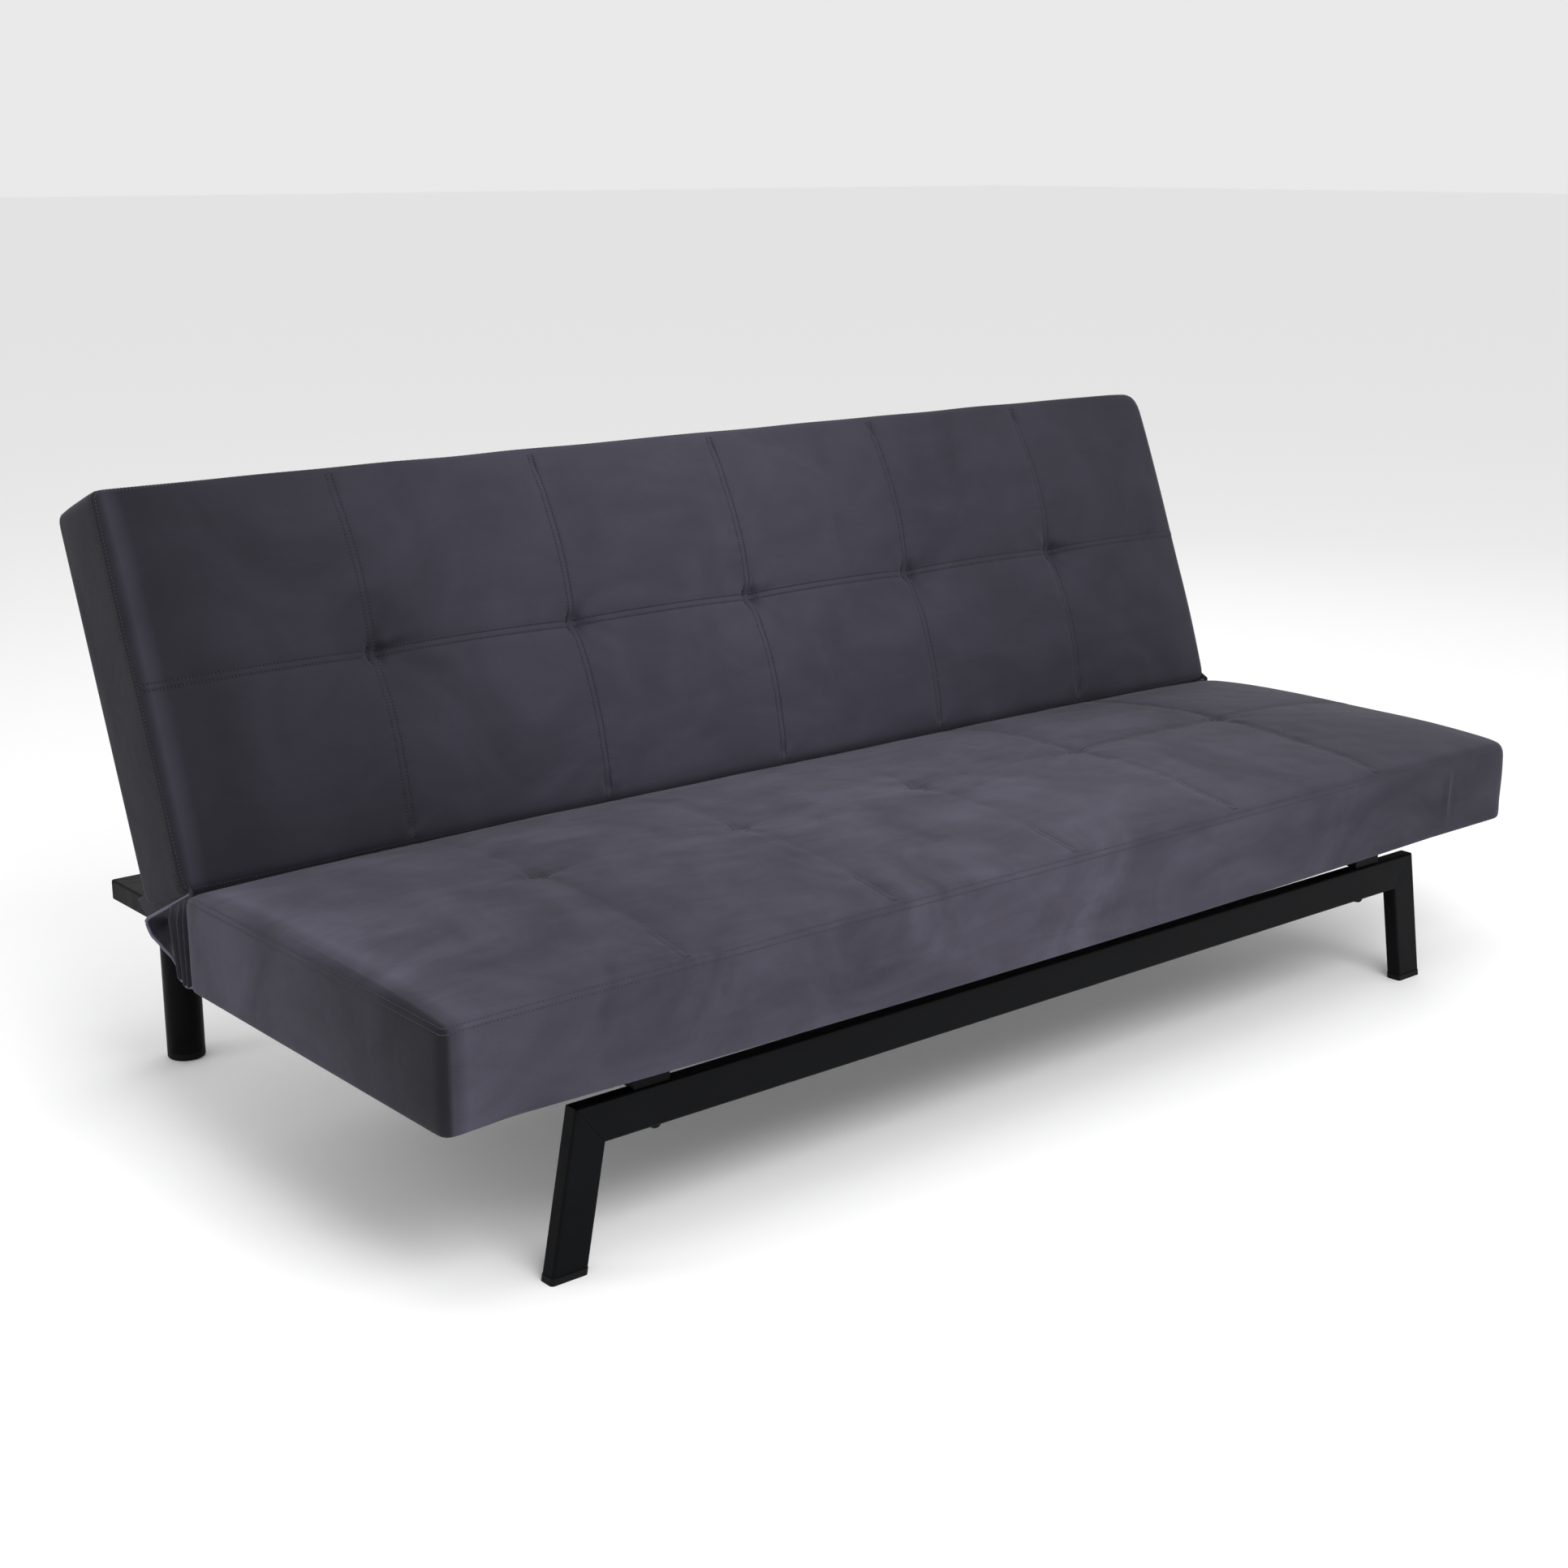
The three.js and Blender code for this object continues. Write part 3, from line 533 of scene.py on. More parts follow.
def pad_mesh(panel):
    """The pad as a grid, open underneath. Returns its points, faces and how firmly each point is held."""
    face_x, face_y = HALF_LENGTH - EDGE, panel.half - EDGE
    xs = grid_lines(-face_x, face_x, SEAM_X, CELL)
    ys = grid_lines(-face_y, face_y, (panel.seam_y,), CELL)
    nx, ny = len(xs), len(ys)
    gx, gy = np.meshgrid(xs, ys, indexing="ij")
    held = np.zeros((nx, ny))
    for tx in SEAM_X:
        held[np.abs(xs - tx) < 1e-6, :] = 1
    held[:, np.abs(ys - panel.seam_y) < 1e-6] = 1
    held[[0, -1], :] = 1
    held[:, [0, -1]] = 1
    tight = (gx < 0) | (gy * panel.joint_side > 0)
    rx, ry = rounded_corner(gx, gy, face_x, face_y, np.where(tight, 0.003, 0.018))
    points = [np.column_stack([rx.ravel(), ry.ravel(), (PAD + panel.height(rx, ry)).ravel()])]
    holds = [held.ravel()]

    def index(i, j):
        return i * ny + j

    loop = [index(i, 0) for i in range(nx)]
    loop += [index(nx - 1, j) for j in range(1, ny)]
    loop += [index(i, ny - 1) for i in range(nx - 2, -1, -1)]
    loop += [index(0, j) for j in range(ny - 2, 0, -1)]
    count = len(loop)
    bx, by = gx.ravel()[loop], gy.ravel()[loop]
    faces = [
        (index(i, j), index(i + 1, j), index(i + 1, j + 1), index(i, j + 1))
        for i in range(nx - 1)
        for j in range(ny - 1)
    ]
    upper = loop
    start = nx * ny
    toward_joint = smoothstep((by * panel.joint_side / face_y - 0.90) / 0.09)
    right_end = smoothstep((bx / face_x - 0.90) / 0.09)
    power = 2 / (CRISP_EDGE + (SOFT_EDGE - CRISP_EDGE) * np.maximum(toward_joint, right_end))
    for angle, distance, z in pad_profile():
        if angle is not None:
            distance = EDGE - EDGE * max(math.cos(angle), 1e-9) ** power
            z = PAD - EDGE + EDGE * max(math.sin(angle), 1e-9) ** power
        distance, z = distance + np.zeros(count), z + np.zeros(count)
        half_x, half_y = HALF_LENGTH - distance, panel.half - distance
        x, y = bx * half_x / face_x, by * half_y / face_y
        corner = panel.corner(x, y)
        x, y = rounded_corner(x, y, half_x, half_y, np.maximum(corner - 0.5 * distance, 0.003))
        lift = panel.height(x, y) * smoothstep((z - UNDER_EDGE) / (PAD - EDGE - UNDER_EDGE))
        points.append(np.column_stack([x, y, z + lift]))
        on_wall = (z > UNDER_EDGE + 0.001) & (z < PAD - EDGE + 0.001)
        holds.append(np.where(on_wall, 0.0, 1.0))
        lower = list(range(start, start + count))
        for a in range(count):
            b = (a + 1) % count
            faces.append((lower[a], lower[b], upper[b], upper[a]))
        upper = lower
        start += count
    return np.vstack(points), faces, np.concatenate(holds)


def puffed(obj, holds, cap):
    """Inflates the pad with cloth pressure. Seams and the underside stay put, and the swelling is limited
    to cap on the face, and to a fraction of that on the taut walls."""
    before = coordinates(obj.data)
    group = obj.vertex_groups.new(name="held")
    group.add([int(i) for i in np.flatnonzero(holds > 0.99)], 1.0, "REPLACE")
    cloth = obj.modifiers.new("puff", "CLOTH")
    s = cloth.settings
    s.quality = 6
    s.mass = 0.25
    s.air_damping = 2.0
    s.tension_stiffness = s.compression_stiffness = 15
    s.shear_stiffness = 8
    s.bending_stiffness = 6
    s.vertex_group_mass = "held"
    s.use_pressure = True
    s.uniform_pressure_force = 4.0
    s.effector_weights.gravity = 0
    cloth.collision_settings.use_collision = False
    cloth.point_cache.frame_start = 1
    cloth.point_cache.frame_end = PUFF_FRAMES
    scene = bpy.context.scene
    for number in range(1, PUFF_FRAMES + 1):
        scene.frame_set(number)
    shown = obj.evaluated_get(bpy.context.evaluated_depsgraph_get())
    move = coordinates(shown.data) - before
    obj.modifiers.clear()
    obj.vertex_groups.clear()
    scene.frame_set(1)
    on_wall = before[:, 2] < PAD - EDGE + 0.001
    far = np.linalg.norm(move, axis=1)
    for part, limit in ((~on_wall, cap), (on_wall, cap * WALL_SHARE)):
        most = float(np.percentile(far[part], 99))
        move[part] *= min(1, limit / max(most, 1e-9))
    set_coordinates(obj.data, before + move)


def waves(random, x, y, length, count=14):
    """A soft random field of about unit size with features about length across."""
    total = np.zeros_like(x)
    for _ in range(count):
        angle, phase = random.uniform(0, 2 * math.pi, 2)
        k = 2 * math.pi / (length * random.uniform(0.7, 1.6))
        total += np.sin(k * (x * math.cos(angle) + y * math.sin(angle)) + phase)
    return total / math.sqrt(count / 2)


def crease(x, y, start, angle, length, width, depth, bend=0.0):
    """One pulled fold: a valley from start in the direction angle, with low ridges beside it."""
    dx, dy = x - start[0], y - start[1]
    along = dx * math.cos(angle) + dy * math.sin(angle)
    side = -dx * math.sin(angle) + dy * math.cos(angle) - bend * along * along / length
    t = np.clip(along / length, 0, 1)
    fade = (1 - t) ** 1.3 * smoothstep((along + 0.01) / 0.02) * ((along > -0.01) & (along < length))
    spread = width * (1 + 1.6 * t)
    r = side / spread
    return -depth * fade * (np.exp(-r * r) - 0.45 * np.exp(-((np.abs(r) - 1.9) ** 2)))


PUCKER_PITCH = 0.019
CREASE_X = 0.762  # the crease in the seat's front wall


def finished_face(panel, mesh):
    """Adds what the needle and the hand leave: seam valleys, tuft pits, pulled folds and soft waves."""
    co, n = coordinates(mesh), normals(mesh)
    x, y, z = co[:, 0], co[:, 1], co[:, 2]
    on_face = smoothstep((z - (PAD - 0.004)) / 0.010) * smoothstep((n[:, 2] - 0.3) / 0.5)
    on_wall = smoothstep((z - 0.010) / 0.02) * (1 - smoothstep((np.abs(n[:, 2]) - 0.5) / 0.4))
    u, v = np.abs(x) / HALF_LENGTH, np.abs(y) / panel.half
    inside = (1 - np.clip(u, 0, 1) ** 12) * (1 - np.clip(v, 0, 1) ** 12)
    shows = panel.shows(x, y)
    push = 0.0007 * waves(panel.random, x, y, 0.20) * inside
    push += 0.00018 * waves(panel.random, x, y, 0.05) * inside

    seams = [(np.abs(x - tx), y) for tx in SEAM_X] + [(np.abs(y - panel.seam_y), x)]
    for off, run in seams:
        push -= 0.0016 * np.exp(-((off / 0.0075) ** 2)) * inside * shows
        phase = panel.random.uniform(0, 6.28)
        pucker = np.sin(run * 2 * math.pi / PUCKER_PITCH + 1.3 * np.sin(run * 23 + phase) + phase)
        strength = 0.6 + 0.4 * np.sin(run * 11 + phase)
        beside = np.exp(-((np.maximum(off - 0.006, 0) / 0.010) ** 2)) * (off > 0.003)
        push += 0.00042 * shows * strength * pucker * beside * inside

    for tx, ty in panel.tufts:
        for side in (-1, 1):
            pit = np.hypot((x - tx - side * 0.0062 - 0.002) / 0.42, y - ty)
            push -= panel.folds * 0.0062 * np.exp(-((pit / 0.0130) ** 2))
        wedge = np.hypot((x - tx - 0.016) / 2.4, y - ty)  # the pull to the right of each tuft
        push -= panel.folds * 0.0022 * np.exp(-((wedge / 0.0085) ** 2))
        spokes = int(panel.random.integers(6, 9))
        for k in range(spokes):
            angle = 2 * math.pi * (k + panel.random.uniform(0.1, 0.9)) / spokes
            rightward = 0.6 + 0.4 * math.cos(angle)
            start = (tx + 0.010 * math.cos(angle), ty + 0.010 * math.sin(angle))
            length = panel.random.uniform(0.045, 0.10) * (0.7 + rightward * 0.5)
            depth = panel.folds * panel.random.uniform(0.0010, 0.0026) * rightward
            bend = panel.random.uniform(-0.25, 0.25)
            push += crease(x, y, start, angle, length, panel.random.uniform(0.0045, 0.007), depth, bend)
    for tx in SEAM_X:
        for end in (-1, 1):
            for k in range(3):
                lean = panel.random.uniform(0.15, 0.75) * (1 if k % 2 else -1)
                angle = -end * math.pi / 2 + lean
                start = (tx + 0.004 * (1 if k % 2 else -1) * -end, end * (panel.half - EDGE - 0.002))
                length = panel.random.uniform(0.030, 0.065)
                depth = panel.folds * panel.random.uniform(0.0006, 0.0015)
                push += crease(x, y, start, angle, length, 0.0045, depth)
    if panel.name == "back":  # the cover is pulled into a soft fold along its left edge
        fade = 0.35 + 0.65 * smoothstep((y / panel.half + 0.9) / 1.2)
        bent = x + 0.884 - 0.002 * np.sin(y * 19)
        push += 0.0020 * fade * np.exp(-((bent / 0.0060) ** 2))
        push -= 0.0018 * fade * np.exp(-(((bent - 0.022) / 0.011) ** 2))
    co = co + n * (push * on_face)[:, None]
    if panel.name == "seat":
        pinched = x - CREASE_X + 0.004 * np.cos((z - 0.06) * 30)
        stroke = np.exp(-((pinched / 0.0036) ** 2)) - 0.4 * np.exp(-(((pinched - 0.009) / 0.005) ** 2))
        reach = smoothstep((z - 0.012) / 0.03) * smoothstep((0.100 - z) / 0.03) * (y < -panel.half + 0.01)
        co = co + n * (0.0036 * stroke * reach)[:, None]
    ripple = 0.00045 * waves(panel.random, x + y, z * 1.6, 0.16)
    co = co + n * (ripple * on_wall)[:, None]
    set_coordinates(mesh, panel.settled(panel.hung(co)))


def close_underside(mesh):
    """Fills the opening inside the turned-under edge with one flat face. A dust cloth covers it."""
    work = bmesh.new()
    work.from_mesh(mesh)
    bmesh.ops.edgeloop_fill(work, edges=[e for e in work.edges if e.is_boundary])
    work.to_mesh(mesh)
    work.free()


def put_in_place(panel, obj):
    obj.data.transform(Matrix.Translation((0, panel.half, 0)))
    obj.data.transform(panel.place)
    obj.data.update()


def make_pad(panel):
    points, faces, holds = pad_mesh(panel)
    pad = new_object(panel.name + "_pad", points, faces, [PAD_VELVETS[panel.name]])
    puffed(pad, holds, panel.puff)
    pad.modifiers.new("finer", "SUBSURF").levels = 1
    applied(pad)
    close_underside(pad.data)
    finished_face(panel, pad.data)
    pad.data.polygons.foreach_set("use_smooth", [True] * len(pad.data.polygons))  # the closed underside too
    return pad


# ---- seams ----
SEAM_SECTION = (  # (across the seam, above the cloth) in mm: a rib between two stitched grooves
    (-6.8, -0.4), (-5.0, 0.62), (-4.0, 0.10), (-3.0, 0.72),
    (0, 1.0),
    (3.0, 0.72), (4.0, 0.10), (5.0, 0.62), (6.8, -0.4),
)
SUNK = 1.3  # how far, in mm, a seam that doesn't show lies down in the pile
EDGE_SEAM = 0.75  # the seam round the face is this much narrower
GROOVE_STRIPS = (1, 2, 5, 6)  # the strips of that section that slope down to a line of stitches
STITCH_PITCH = 4.4 * MM
STITCH_LENGTH = 3.2 * MM
STITCH_ROW = 4.0  # how far, in mm, each row of stitches runs from the middle of its seam
STITCH_SECTIONS = ((-0.5, 0.16), (-0.3, 0.42), (0.3, 0.42), (0.5, 0.16))  # (part of the length, radius in mm)
STITCHES_SHOW = 0.55  # a seam that shows less than this has its stitches buried in the pile
SEAM_INSET = 0.006  # how far the straight seams end inside the pad's edge
RING_DEPTH = EDGE * 0.15  # how far the edge seam lies in and down on the rounding of the edge


class Surface:
    """Finds the pad's skin along a line of sight."""

    def __init__(self, mesh):
        co = [tuple(p) for p in coordinates(mesh)]
        polygons = [tuple(p.vertices) for p in mesh.polygons]
        self.tree = BVHTree.FromPolygons(co, polygons)

    def under(self, point, normal):
        hit, _, _, _ = self.tree.ray_cast(Vector(point + normal * 0.05), Vector(-normal), 0.12)
        return np.array(hit) if hit is not None else point


def seam_paths(panel):
    """Each seam as points and outward directions: five across the pad, one along it, one round its edge."""
    up = np.array([0, 0, 1.0])
    step = STITCH_PITCH
    face_y = panel.half - SEAM_INSET
    face_x = HALF_LENGTH - SEAM_INSET
    paths = []
    for tx in SEAM_X:
        ys = np.arange(-face_y, face_y, step)
        paths.append([(np.array([tx, y, PAD]), up) for y in ys])
    xs = np.arange(-face_x, face_x, step)
    paths.append([(np.array([x, panel.seam_y, PAD]), up) for x in xs])
    half_x, half_y = HALF_LENGTH - RING_DEPTH, panel.half - RING_DEPTH
    outline = []
    for cx, cy, turn in ((1, -1, -90), (1, 1, 0), (-1, 1, 90), (-1, -1, 180)):
        for k in range(7):
            a = math.radians(turn + 15 * k)
            radius = float(panel.corner(cx, cy)) - RING_DEPTH
            centre = np.array([cx * (half_x - radius), cy * (half_y - radius)])
            outline.append((centre + radius * np.array([math.cos(a), math.sin(a)]), a))
    ring = []
    for (p, a), (q, b) in zip(outline, outline[1:] + outline[:1]):
        length = np.linalg.norm(q - p)
        count = max(1, round(length / step))
        b = b if b >= a else b + 2 * math.pi
        for k in range(count):
            t = k / count
            angle = a + (b - a) * t
            spot = p + (q - p) * t
            out = np.array([math.cos(angle), math.sin(angle), 1]) / math.sqrt(2)
            ring.append((np.array([spot[0], spot[1], PAD - RING_DEPTH]), out))
    paths.append(ring)
    return [[(panel.settled(p[None])[0], out) for p, out in path] for path in paths]


def make_seams(panel, pad):
    surface = Surface(pad.data)
    rib_points, rib_faces, stitch_points, stitch_faces = [], [], [], []
    paths = seam_paths(panel)
    for number, path in enumerate(paths):
        closed = number == len(paths) - 1
        count = len(path)
        middle = np.array([surface.under(p, n) for p, n in path])
        wide = len(SEAM_SECTION)
        first = len(rib_points)
        rows = []
        for i in range(count):
            a, b = (i - 1, (i + 1) % count) if closed else (max(i - 1, 0), min(i + 1, count - 1))
            tangent = middle[b] - middle[a]
            tangent /= np.linalg.norm(tangent)
            out = path[i][1]
            side = np.cross(tangent, out)
            side /= np.linalg.norm(side)
            normal = np.cross(side, tangent)
            rows.append((tangent, side, normal, out))
            pinch = 0.75 if i % 2 else 1.0
            size = EDGE_SEAM if closed else 1
            place = path[i][0]
            shown = 1.0 if closed else float(panel.shows(np.array(place[0]), np.array(place[1])))
            for off, rise in SEAM_SECTION:
                spot = surface.under(place + side * off * size * MM, out)
                level = rise * size * pinch - SUNK * (1 - shown)
                rib_points.append(spot + normal * level * MM)
        last = count if closed else count - 1
        for i in range(last):
            a, b = first + i * wide, first + (i + 1) % count * wide
            for k in range(wide - 1):
                rib_faces.append((a + k, a + k + 1, b + k + 1, b + k))
        for i in range(last):
            tangent, side, normal, out = rows[i]
            if not closed and float(panel.shows(path[i][0][0:1], path[i][0][1:2])[0]) < STITCHES_SHOW:
                continue
            for row in (-STITCH_ROW, STITCH_ROW):
                row *= EDGE_SEAM if closed else 1
                spot = surface.under(path[i][0] + side * row * MM, out) + normal * 0.3 * MM
                stitch_faces += closed_rings(len(stitch_points), len(STITCH_SECTIONS), 4)
                for t, radius in STITCH_SECTIONS:
                    for a in range(4):
                        angle = math.pi / 4 + a * math.pi / 2
                        ring = side * math.cos(angle) + normal * math.sin(angle)
                        stitch_points.append(spot + tangent * t * STITCH_LENGTH + ring * radius * MM)
    ribs = new_object(panel.name + "_seam_ribs", rib_points, rib_faces, SEAM_VELVETS[panel.name])
    strips = len(SEAM_SECTION) - 1
    # Painted shade: the strips that slope into the stitched grooves get the darker velvet.
    pressed = [int(i % strips in GROOVE_STRIPS) for i in range(len(rib_faces))]
    ribs.data.polygons.foreach_set("material_index", pressed)
    stitches = new_object(panel.name + "_stitches", stitch_points, stitch_faces, [THREAD])
    return ribs, stitches


# ---- dust cloths ----
CLOTH_INSET = 0.028  # from the pad's edge to the dust cloth's
STAPLE_PITCH, STAPLE_INSET, FIRST_STAPLE = 0.064, 0.008, 0.03
STAPLE_WIRE = (  # (along, above the cloth) in mm
    (-5.2, 0.9), (-5.0, 0.10), (-4.4, -0.12), (0, -0.16), (4.4, -0.12), (5.0, 0.10), (5.2, 0.9),
)


def make_dust_cloth(panel):
    """A thin sheet with a folded edge, a little slack between its staples."""
    half_x, half_y = HALF_LENGTH - CLOTH_INSET, panel.half - CLOTH_INSET
    xs = grid_lines(-half_x, half_x, (), 0.016)
    ys = grid_lines(-half_y, half_y, (), 0.016)
    gx, gy = np.meshgrid(xs, ys, indexing="ij")
    dx, dy = half_x - np.abs(gx), half_y - np.abs(gy)
    edge = np.minimum(dx, dy)
    level = 0.00075 - 0.0003 * (edge < 0.014)
    slack = smoothstep((edge - 0.012) / 0.06)
    folds = 0.0006 * waves(panel.random, gx, gy * 0.6, 0.12) + 0.00035 * waves(panel.random, gx, gy, 0.05)
    pull = 0.0005 * np.sin(gx * 2 * math.pi / STAPLE_PITCH) * np.exp(-dy / 0.03)
    pull = pull + 0.0005 * np.sin(gy * 2 * math.pi / STAPLE_PITCH) * np.exp(-dx / 0.03)
    z = level + np.abs(folds) * slack + (0.0005 + pull) * (1 - np.exp(-edge / 0.006)) * (edge < 0.09)
    nx, ny = gx.shape
    top = np.column_stack([gx.ravel(), gy.ravel(), z.ravel()])
    faces = [
        (i * ny + j, i * ny + j + 1, (i + 1) * ny + j + 1, (i + 1) * ny + j)
        for i in range(nx - 1)
        for j in range(ny - 1)
    ]
    cloth = new_object(panel.name + "_under_cloth", top, faces, [DUST_CLOTH])
    solid = cloth.modifiers.new("thick", "SOLIDIFY")
    solid.thickness = 0.0004
    solid.offset = -1
    applied(cloth)
    points, faces = [], []
    along_x = np.arange(-half_x + FIRST_STAPLE, half_x, STAPLE_PITCH)
    along_y = np.arange(-half_y + FIRST_STAPLE, half_y, STAPLE_PITCH)
    spots = [(x, s * (half_y - STAPLE_INSET), 0.0) for x in along_x for s in (-1, 1)]
    spots += [(s * (half_x - STAPLE_INSET), y, math.pi / 2) for y in along_y for s in (-1, 1)]
    for x, y, turn in spots:
        turn += panel.random.uniform(-0.16, 0.16)
        along = np.array([math.cos(turn), math.sin(turn), 0])
        across = np.array([-math.sin(turn), math.cos(turn), 0])
        faces += closed_rings(len(points), len(STAPLE_WIRE), 6)
        for t, drop in STAPLE_WIRE:
            for a in range(6):
                angle = a * math.pi / 3
                ring = across * math.cos(angle) * 0.55 + np.array([0, 0, 1]) * math.sin(angle) * 0.28
                points.append(np.array([x, y, 0.0003]) + (along * t + np.array([0, 0, drop]) + ring) * MM)
    staples = new_object(panel.name + "_staples", points, faces, [ZINC])
    return cloth, staples, (2 * half_x, 2 * half_y)


# ---- gussets ----
# The gusset's edges at rest, from the apex of the wedge, in mm: along the back, and along the bottom.
UPPER_EDGE = ((-5, 3), (122, -60))
LOWER_EDGE = (
    (0, -116), (14, -117), (32, -113), (48, -101), (60, -94), (80, -90), (96, -85), (114, -81), (126, -70),
)
PLEATS = ((0.16, 0.026, 5.5), (0.27, 0.032, 7.0), (0.47, 0.050, 6.0))  # where, how wide, how high in mm
FLAP_FOLDS = ((0.30, 0.13, 5.5), (0.72, 0.15, 3.5))  # the same, across the flap
FAN_X, FLAP_X = 902.0, 866.0
GUSSET_CLOTH = 0.0016
PIPING_RADIUS = 0.0021


def gusset_point(side, u, v):
    """A point of the gusset: u runs along the back's edge, v from there down to the bottom edge."""
    above, v = max(-v, 0), max(v, 0)
    along = u * (len(LOWER_EDGE) - 1)
    k = min(int(along), len(LOWER_EDGE) - 2)
    low = [a + (b - a) * (along - k) for a, b in zip(LOWER_EDGE[k], LOWER_EDGE[k + 1])]
    high = [a + (b - a) * u for a, b in zip(*UPPER_EDGE)]
    belly = 5 * u * math.sin(math.pi * v)
    y = high[0] + (low[0] - high[0]) * v + belly
    z = high[1] + (low[1] - high[1]) * v
    spread = float(smoothstep(v / 0.3)) * (0.75 + 0.25 * v)
    gather = 1 - 0.45 * v  # the folds draw together towards the bottom
    fold = sum(high_mm * math.exp(-(((u - at * gather) / wide) ** 2)) for at, wide, high_mm in PLEATS)
    hollow = 22 * float(smoothstep((u - 0.42) / 0.25)) * float(smoothstep((1 - u) / 0.14))
    hollow *= math.sin(math.pi * v) ** 0.7
    x = FAN_X + (fold - 2.5) * spread - hollow - 4 * (1 - spread) - 6 * above
    y, z = y + 110 * above, z + 60 * above
    return np.array([side * x, APEX.y / MM + y, APEX.z / MM + z]) * MM


def cloth_strip(name, side, rows):
    """A thin two-sided piece of the cover's cloth through rows of points."""
    points = [p for row in rows for p in row]
    wide = len(rows[0])
    faces = []
    for i in range(len(rows) - 1):
        for j in range(wide - 1):
            a = i * wide + j
            quad = (a, a + 1, a + wide + 1, a + wide)
            faces.append(quad if side < 0 else tuple(reversed(quad)))
    sheet = new_object(name, points, faces, [VELVET_BACK_SHADED])
    solid = sheet.modifiers.new("thick", "SOLIDIFY")
    solid.thickness = GUSSET_CLOTH
    solid.offset = -1
    return applied(sheet)


def make_gusset(side_name, side):
    """Fabric that closes one end of the wedge between seat and back: folds gathered at the seat's lower
    rear corner, an edge bound with piping, and a flap sewn to the seat that lies under the first fold."""
    across, down = 120, 30
    tucked = 8  # rows of cloth that reach up beside the back pad
    rows = [
        [gusset_point(side, i / across, j / down) for j in range(-tucked, down + 1)]
        for i in range(across + 1)
    ]
    fan = cloth_strip("gusset_fan_" + side_name, side, rows)
    edge = [row[tucked] for row in rows[6:-3]]
    tip = rows[-1][tucked :: down // 6]
    bottom = [row[-1] for row in reversed(rows[:-3])]
    hem = smooth_path(edge + tip + bottom, 0.004)
    piping = tube("gusset_piping_" + side_name, hem, PIPING_RADIUS, [VELVET_PIPING_LIT])
    flap_rows = []
    for i in range(31):
        t = i / 30
        row = []
        for j in range(down + 1):
            v = j / down
            fold = sum(high_mm * math.exp(-(((t - at) / wide) ** 2)) for at, wide, high_mm in FLAP_FOLDS)
            x = FLAP_X + fold * float(smoothstep(v / 0.25)) - 3.5 * t
            row.append(np.array([side * x, APEX.y / MM - 3 + 24 * t, APEX.z / MM - 12 - 104 * v]) * MM)
        flap_rows.append(row)
    flap = cloth_strip("gusset_flap_" + side_name, side, flap_rows)
    return fan, piping, flap


def smooth_path(points, step):
    """Evenly spaced points along a line, with its corners eased."""
    line = np.array(points)
    for _ in range(12):
        line[1:-1] = (line[:-2] + 2 * line[1:-1] + line[2:]) / 4
    run = np.concatenate([[0], np.cumsum(np.linalg.norm(np.diff(line, axis=0), axis=1))])
    spots = np.linspace(0, run[-1], max(2, round(run[-1] / step)))
    return [np.array([np.interp(s, run, line[:, k]) for k in range(3)]) for s in spots]


def tube(name, path, radius, materials, sides=10):
    """A round cord along a path, closed at both ends."""
    points = []
    last = len(path) - 1
    for i, p in enumerate(path):
        tangent = path[min(i + 1, last)] - path[max(i - 1, 0)]
        tangent = tangent / np.linalg.norm(tangent)
        first = np.cross(tangent, np.array([1.0, 0, 0]))
        first /= np.linalg.norm(first)
        second = np.cross(tangent, first)
        thin = 0.55 if i in (0, last) else 1
        for k in range(sides):
            angle = 2 * math.pi * k / sides
            points.append(p + (first * math.cos(angle) + second * math.sin(angle)) * radius * thin)
    return new_object(name, points, closed_rings(0, len(path), sides), materials)


# ---- put together ----
make_camera()
make_studio()

VELVET_COLOUR = (0.042, 0.0392, 0.0555)
VELVET_SEAT = velvet("velvet_seat", VELVET_COLOUR)
# Painted shade: the back is the seat's velvet made darker, standing in for the less light that falls on it.
BACK_SHADED_COLOUR = shade(VELVET_COLOUR, 0.76)
VELVET_BACK_SHADED = velvet("velvet_back", BACK_SHADED_COLOUR, contrast=0.5, painted_shading=BACK_PAINTED_SHADING)
PAD_VELVETS = {"seat": VELVET_SEAT, "back": VELVET_BACK_SHADED}
SEAM_VELVETS = {  # the rib of a seam, and the pile in the stitched grooves beside it, darkened as painted shade
    "seat": (
        velvet("velvet_seat_rib", VELVET_COLOUR, 0.4),
        velvet("velvet_seat_groove_shade", shade(VELVET_COLOUR, 0.76), 0.2),
    ),
    "back": (
        velvet("velvet_back_rib", BACK_SHADED_COLOUR, 0.4, 0.5, BACK_PAINTED_SHADING),
        velvet("velvet_back_groove_shade", shade(BACK_SHADED_COLOUR, 0.48), 0.2, 0.5, BACK_PAINTED_SHADING),
    ),
}
# Painted highlight: the piping is the seat's velvet made three times lighter, standing in for the light its
# round cord catches.
VELVET_PIPING_LIT = velvet("velvet_piping_highlight", shade(VELVET_COLOUR, 3.0), 0.3, 0.4)
THREAD = thread("thread_grey", (0.017, 0.016, 0.022))
STEEL = powder_coat("powder_black", (0.0022, 0.0024, 0.0030))
ZINC = zinc("zinc_plate")
PLASTIC = moulded_plastic("plastic_black")
WOOD = beech("beech_slat")
FOAM = foam_block("foam_cream")
DUST_CLOTH = bonded_cloth("bonded_cloth")

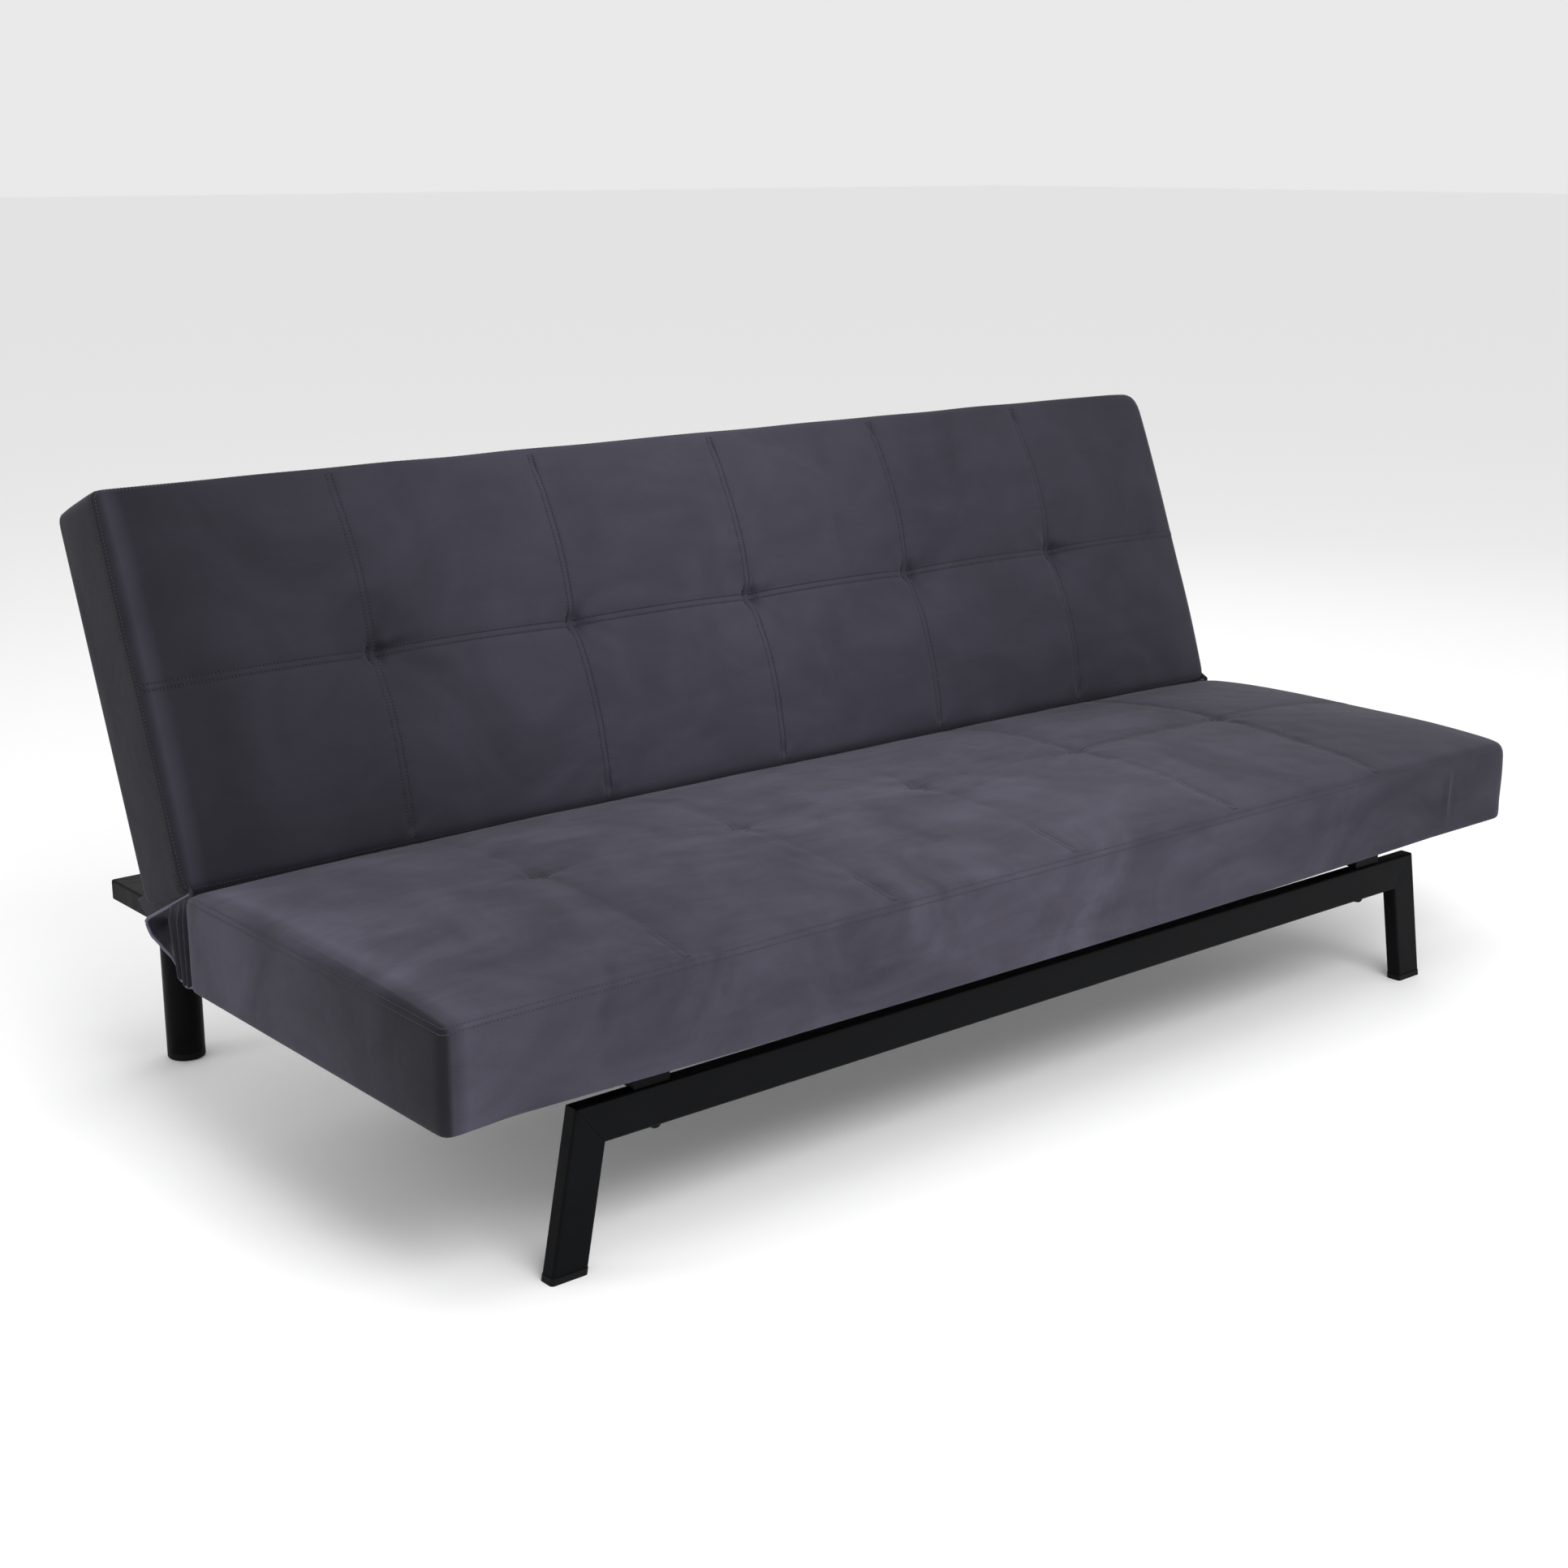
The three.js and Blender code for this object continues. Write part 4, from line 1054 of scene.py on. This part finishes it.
SLOT_FINISH = {
    "velvet": VELVET_BACK_SHADED,
    "foam": FOAM,
    "dust_cloth": DUST_CLOTH,
    "slat_wood": WOOD,
    "black_steel": STEEL,
    "zinc_steel": ZINC,
    "black_plastic": PLASTIC,
}
for part in frame["record"]["subparts"]:
    mesh = frame["nodes"][part["node"]].data
    mesh.materials.clear()
    mesh.materials.append(SLOT_FINISH[part["material_slot"]])

seat_place = Matrix.Translation((0, FRONT, SEAT_BASE))
face_out = Vector((0, -math.cos(LEAN), math.sin(LEAN)))
up_slope = Vector((0, math.sin(LEAN), math.cos(LEAN)))
back_place = Matrix.Translation(APEX - face_out * PAD) @ Matrix(
    ((1, 0, 0, 0), (0, up_slope.y, face_out.y, 0), (0, up_slope.z, face_out.z, 0), (0, 0, 0, 1))
)
PANELS = {
    "seat": Panel(
        "seat", SEAT_DEPTH, seat_place, 0.0075, 1, 11,
        crown=0.027, bow=0.008, puff=0.0045, tuft_dip=0.0045, seam_dip=0.0010, folds=0.5, end_drop=0.003,
        hem=0.007, sag=0.007, swell_left=0.010, swell_right=0.018,
    ),
    "back": Panel(
        "back", BACK_HEIGHT, back_place, 0.002, -1, 23,
        crown=0.029, bow=0.005, puff=0.0055, tuft_dip=0.017, seam_dip=0.0016, folds=1.5, end_drop=0.002,
        hem=0, sag=0, swell_left=0.009, swell_right=0.006,
    ),
}
for body, panel in PANELS.items():
    pad = make_pad(panel)
    ribs, stitches = make_seams(panel, pad)
    cloth, staples, flat = make_dust_cloth(panel)
    for piece, slot in (
        (pad, "velvet"),
        (ribs, "velvet"),
        (stitches, "velvet"),
        (cloth, "dust_cloth"),
        (staples, "zinc_steel"),
    ):
        put_in_place(panel, piece)
        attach(piece, body)
    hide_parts(f"{body}_cover", f"{body}_foam")
    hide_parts(f"{body}_dust_cloth")

for side_name, side in (("left", -1), ("right", 1)):
    fan, piping, flap = make_gusset(side_name, side)
    for piece in (fan, piping):
        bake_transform(piece)
    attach(flap, "seat")
    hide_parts(f"gusset_{side_name}")
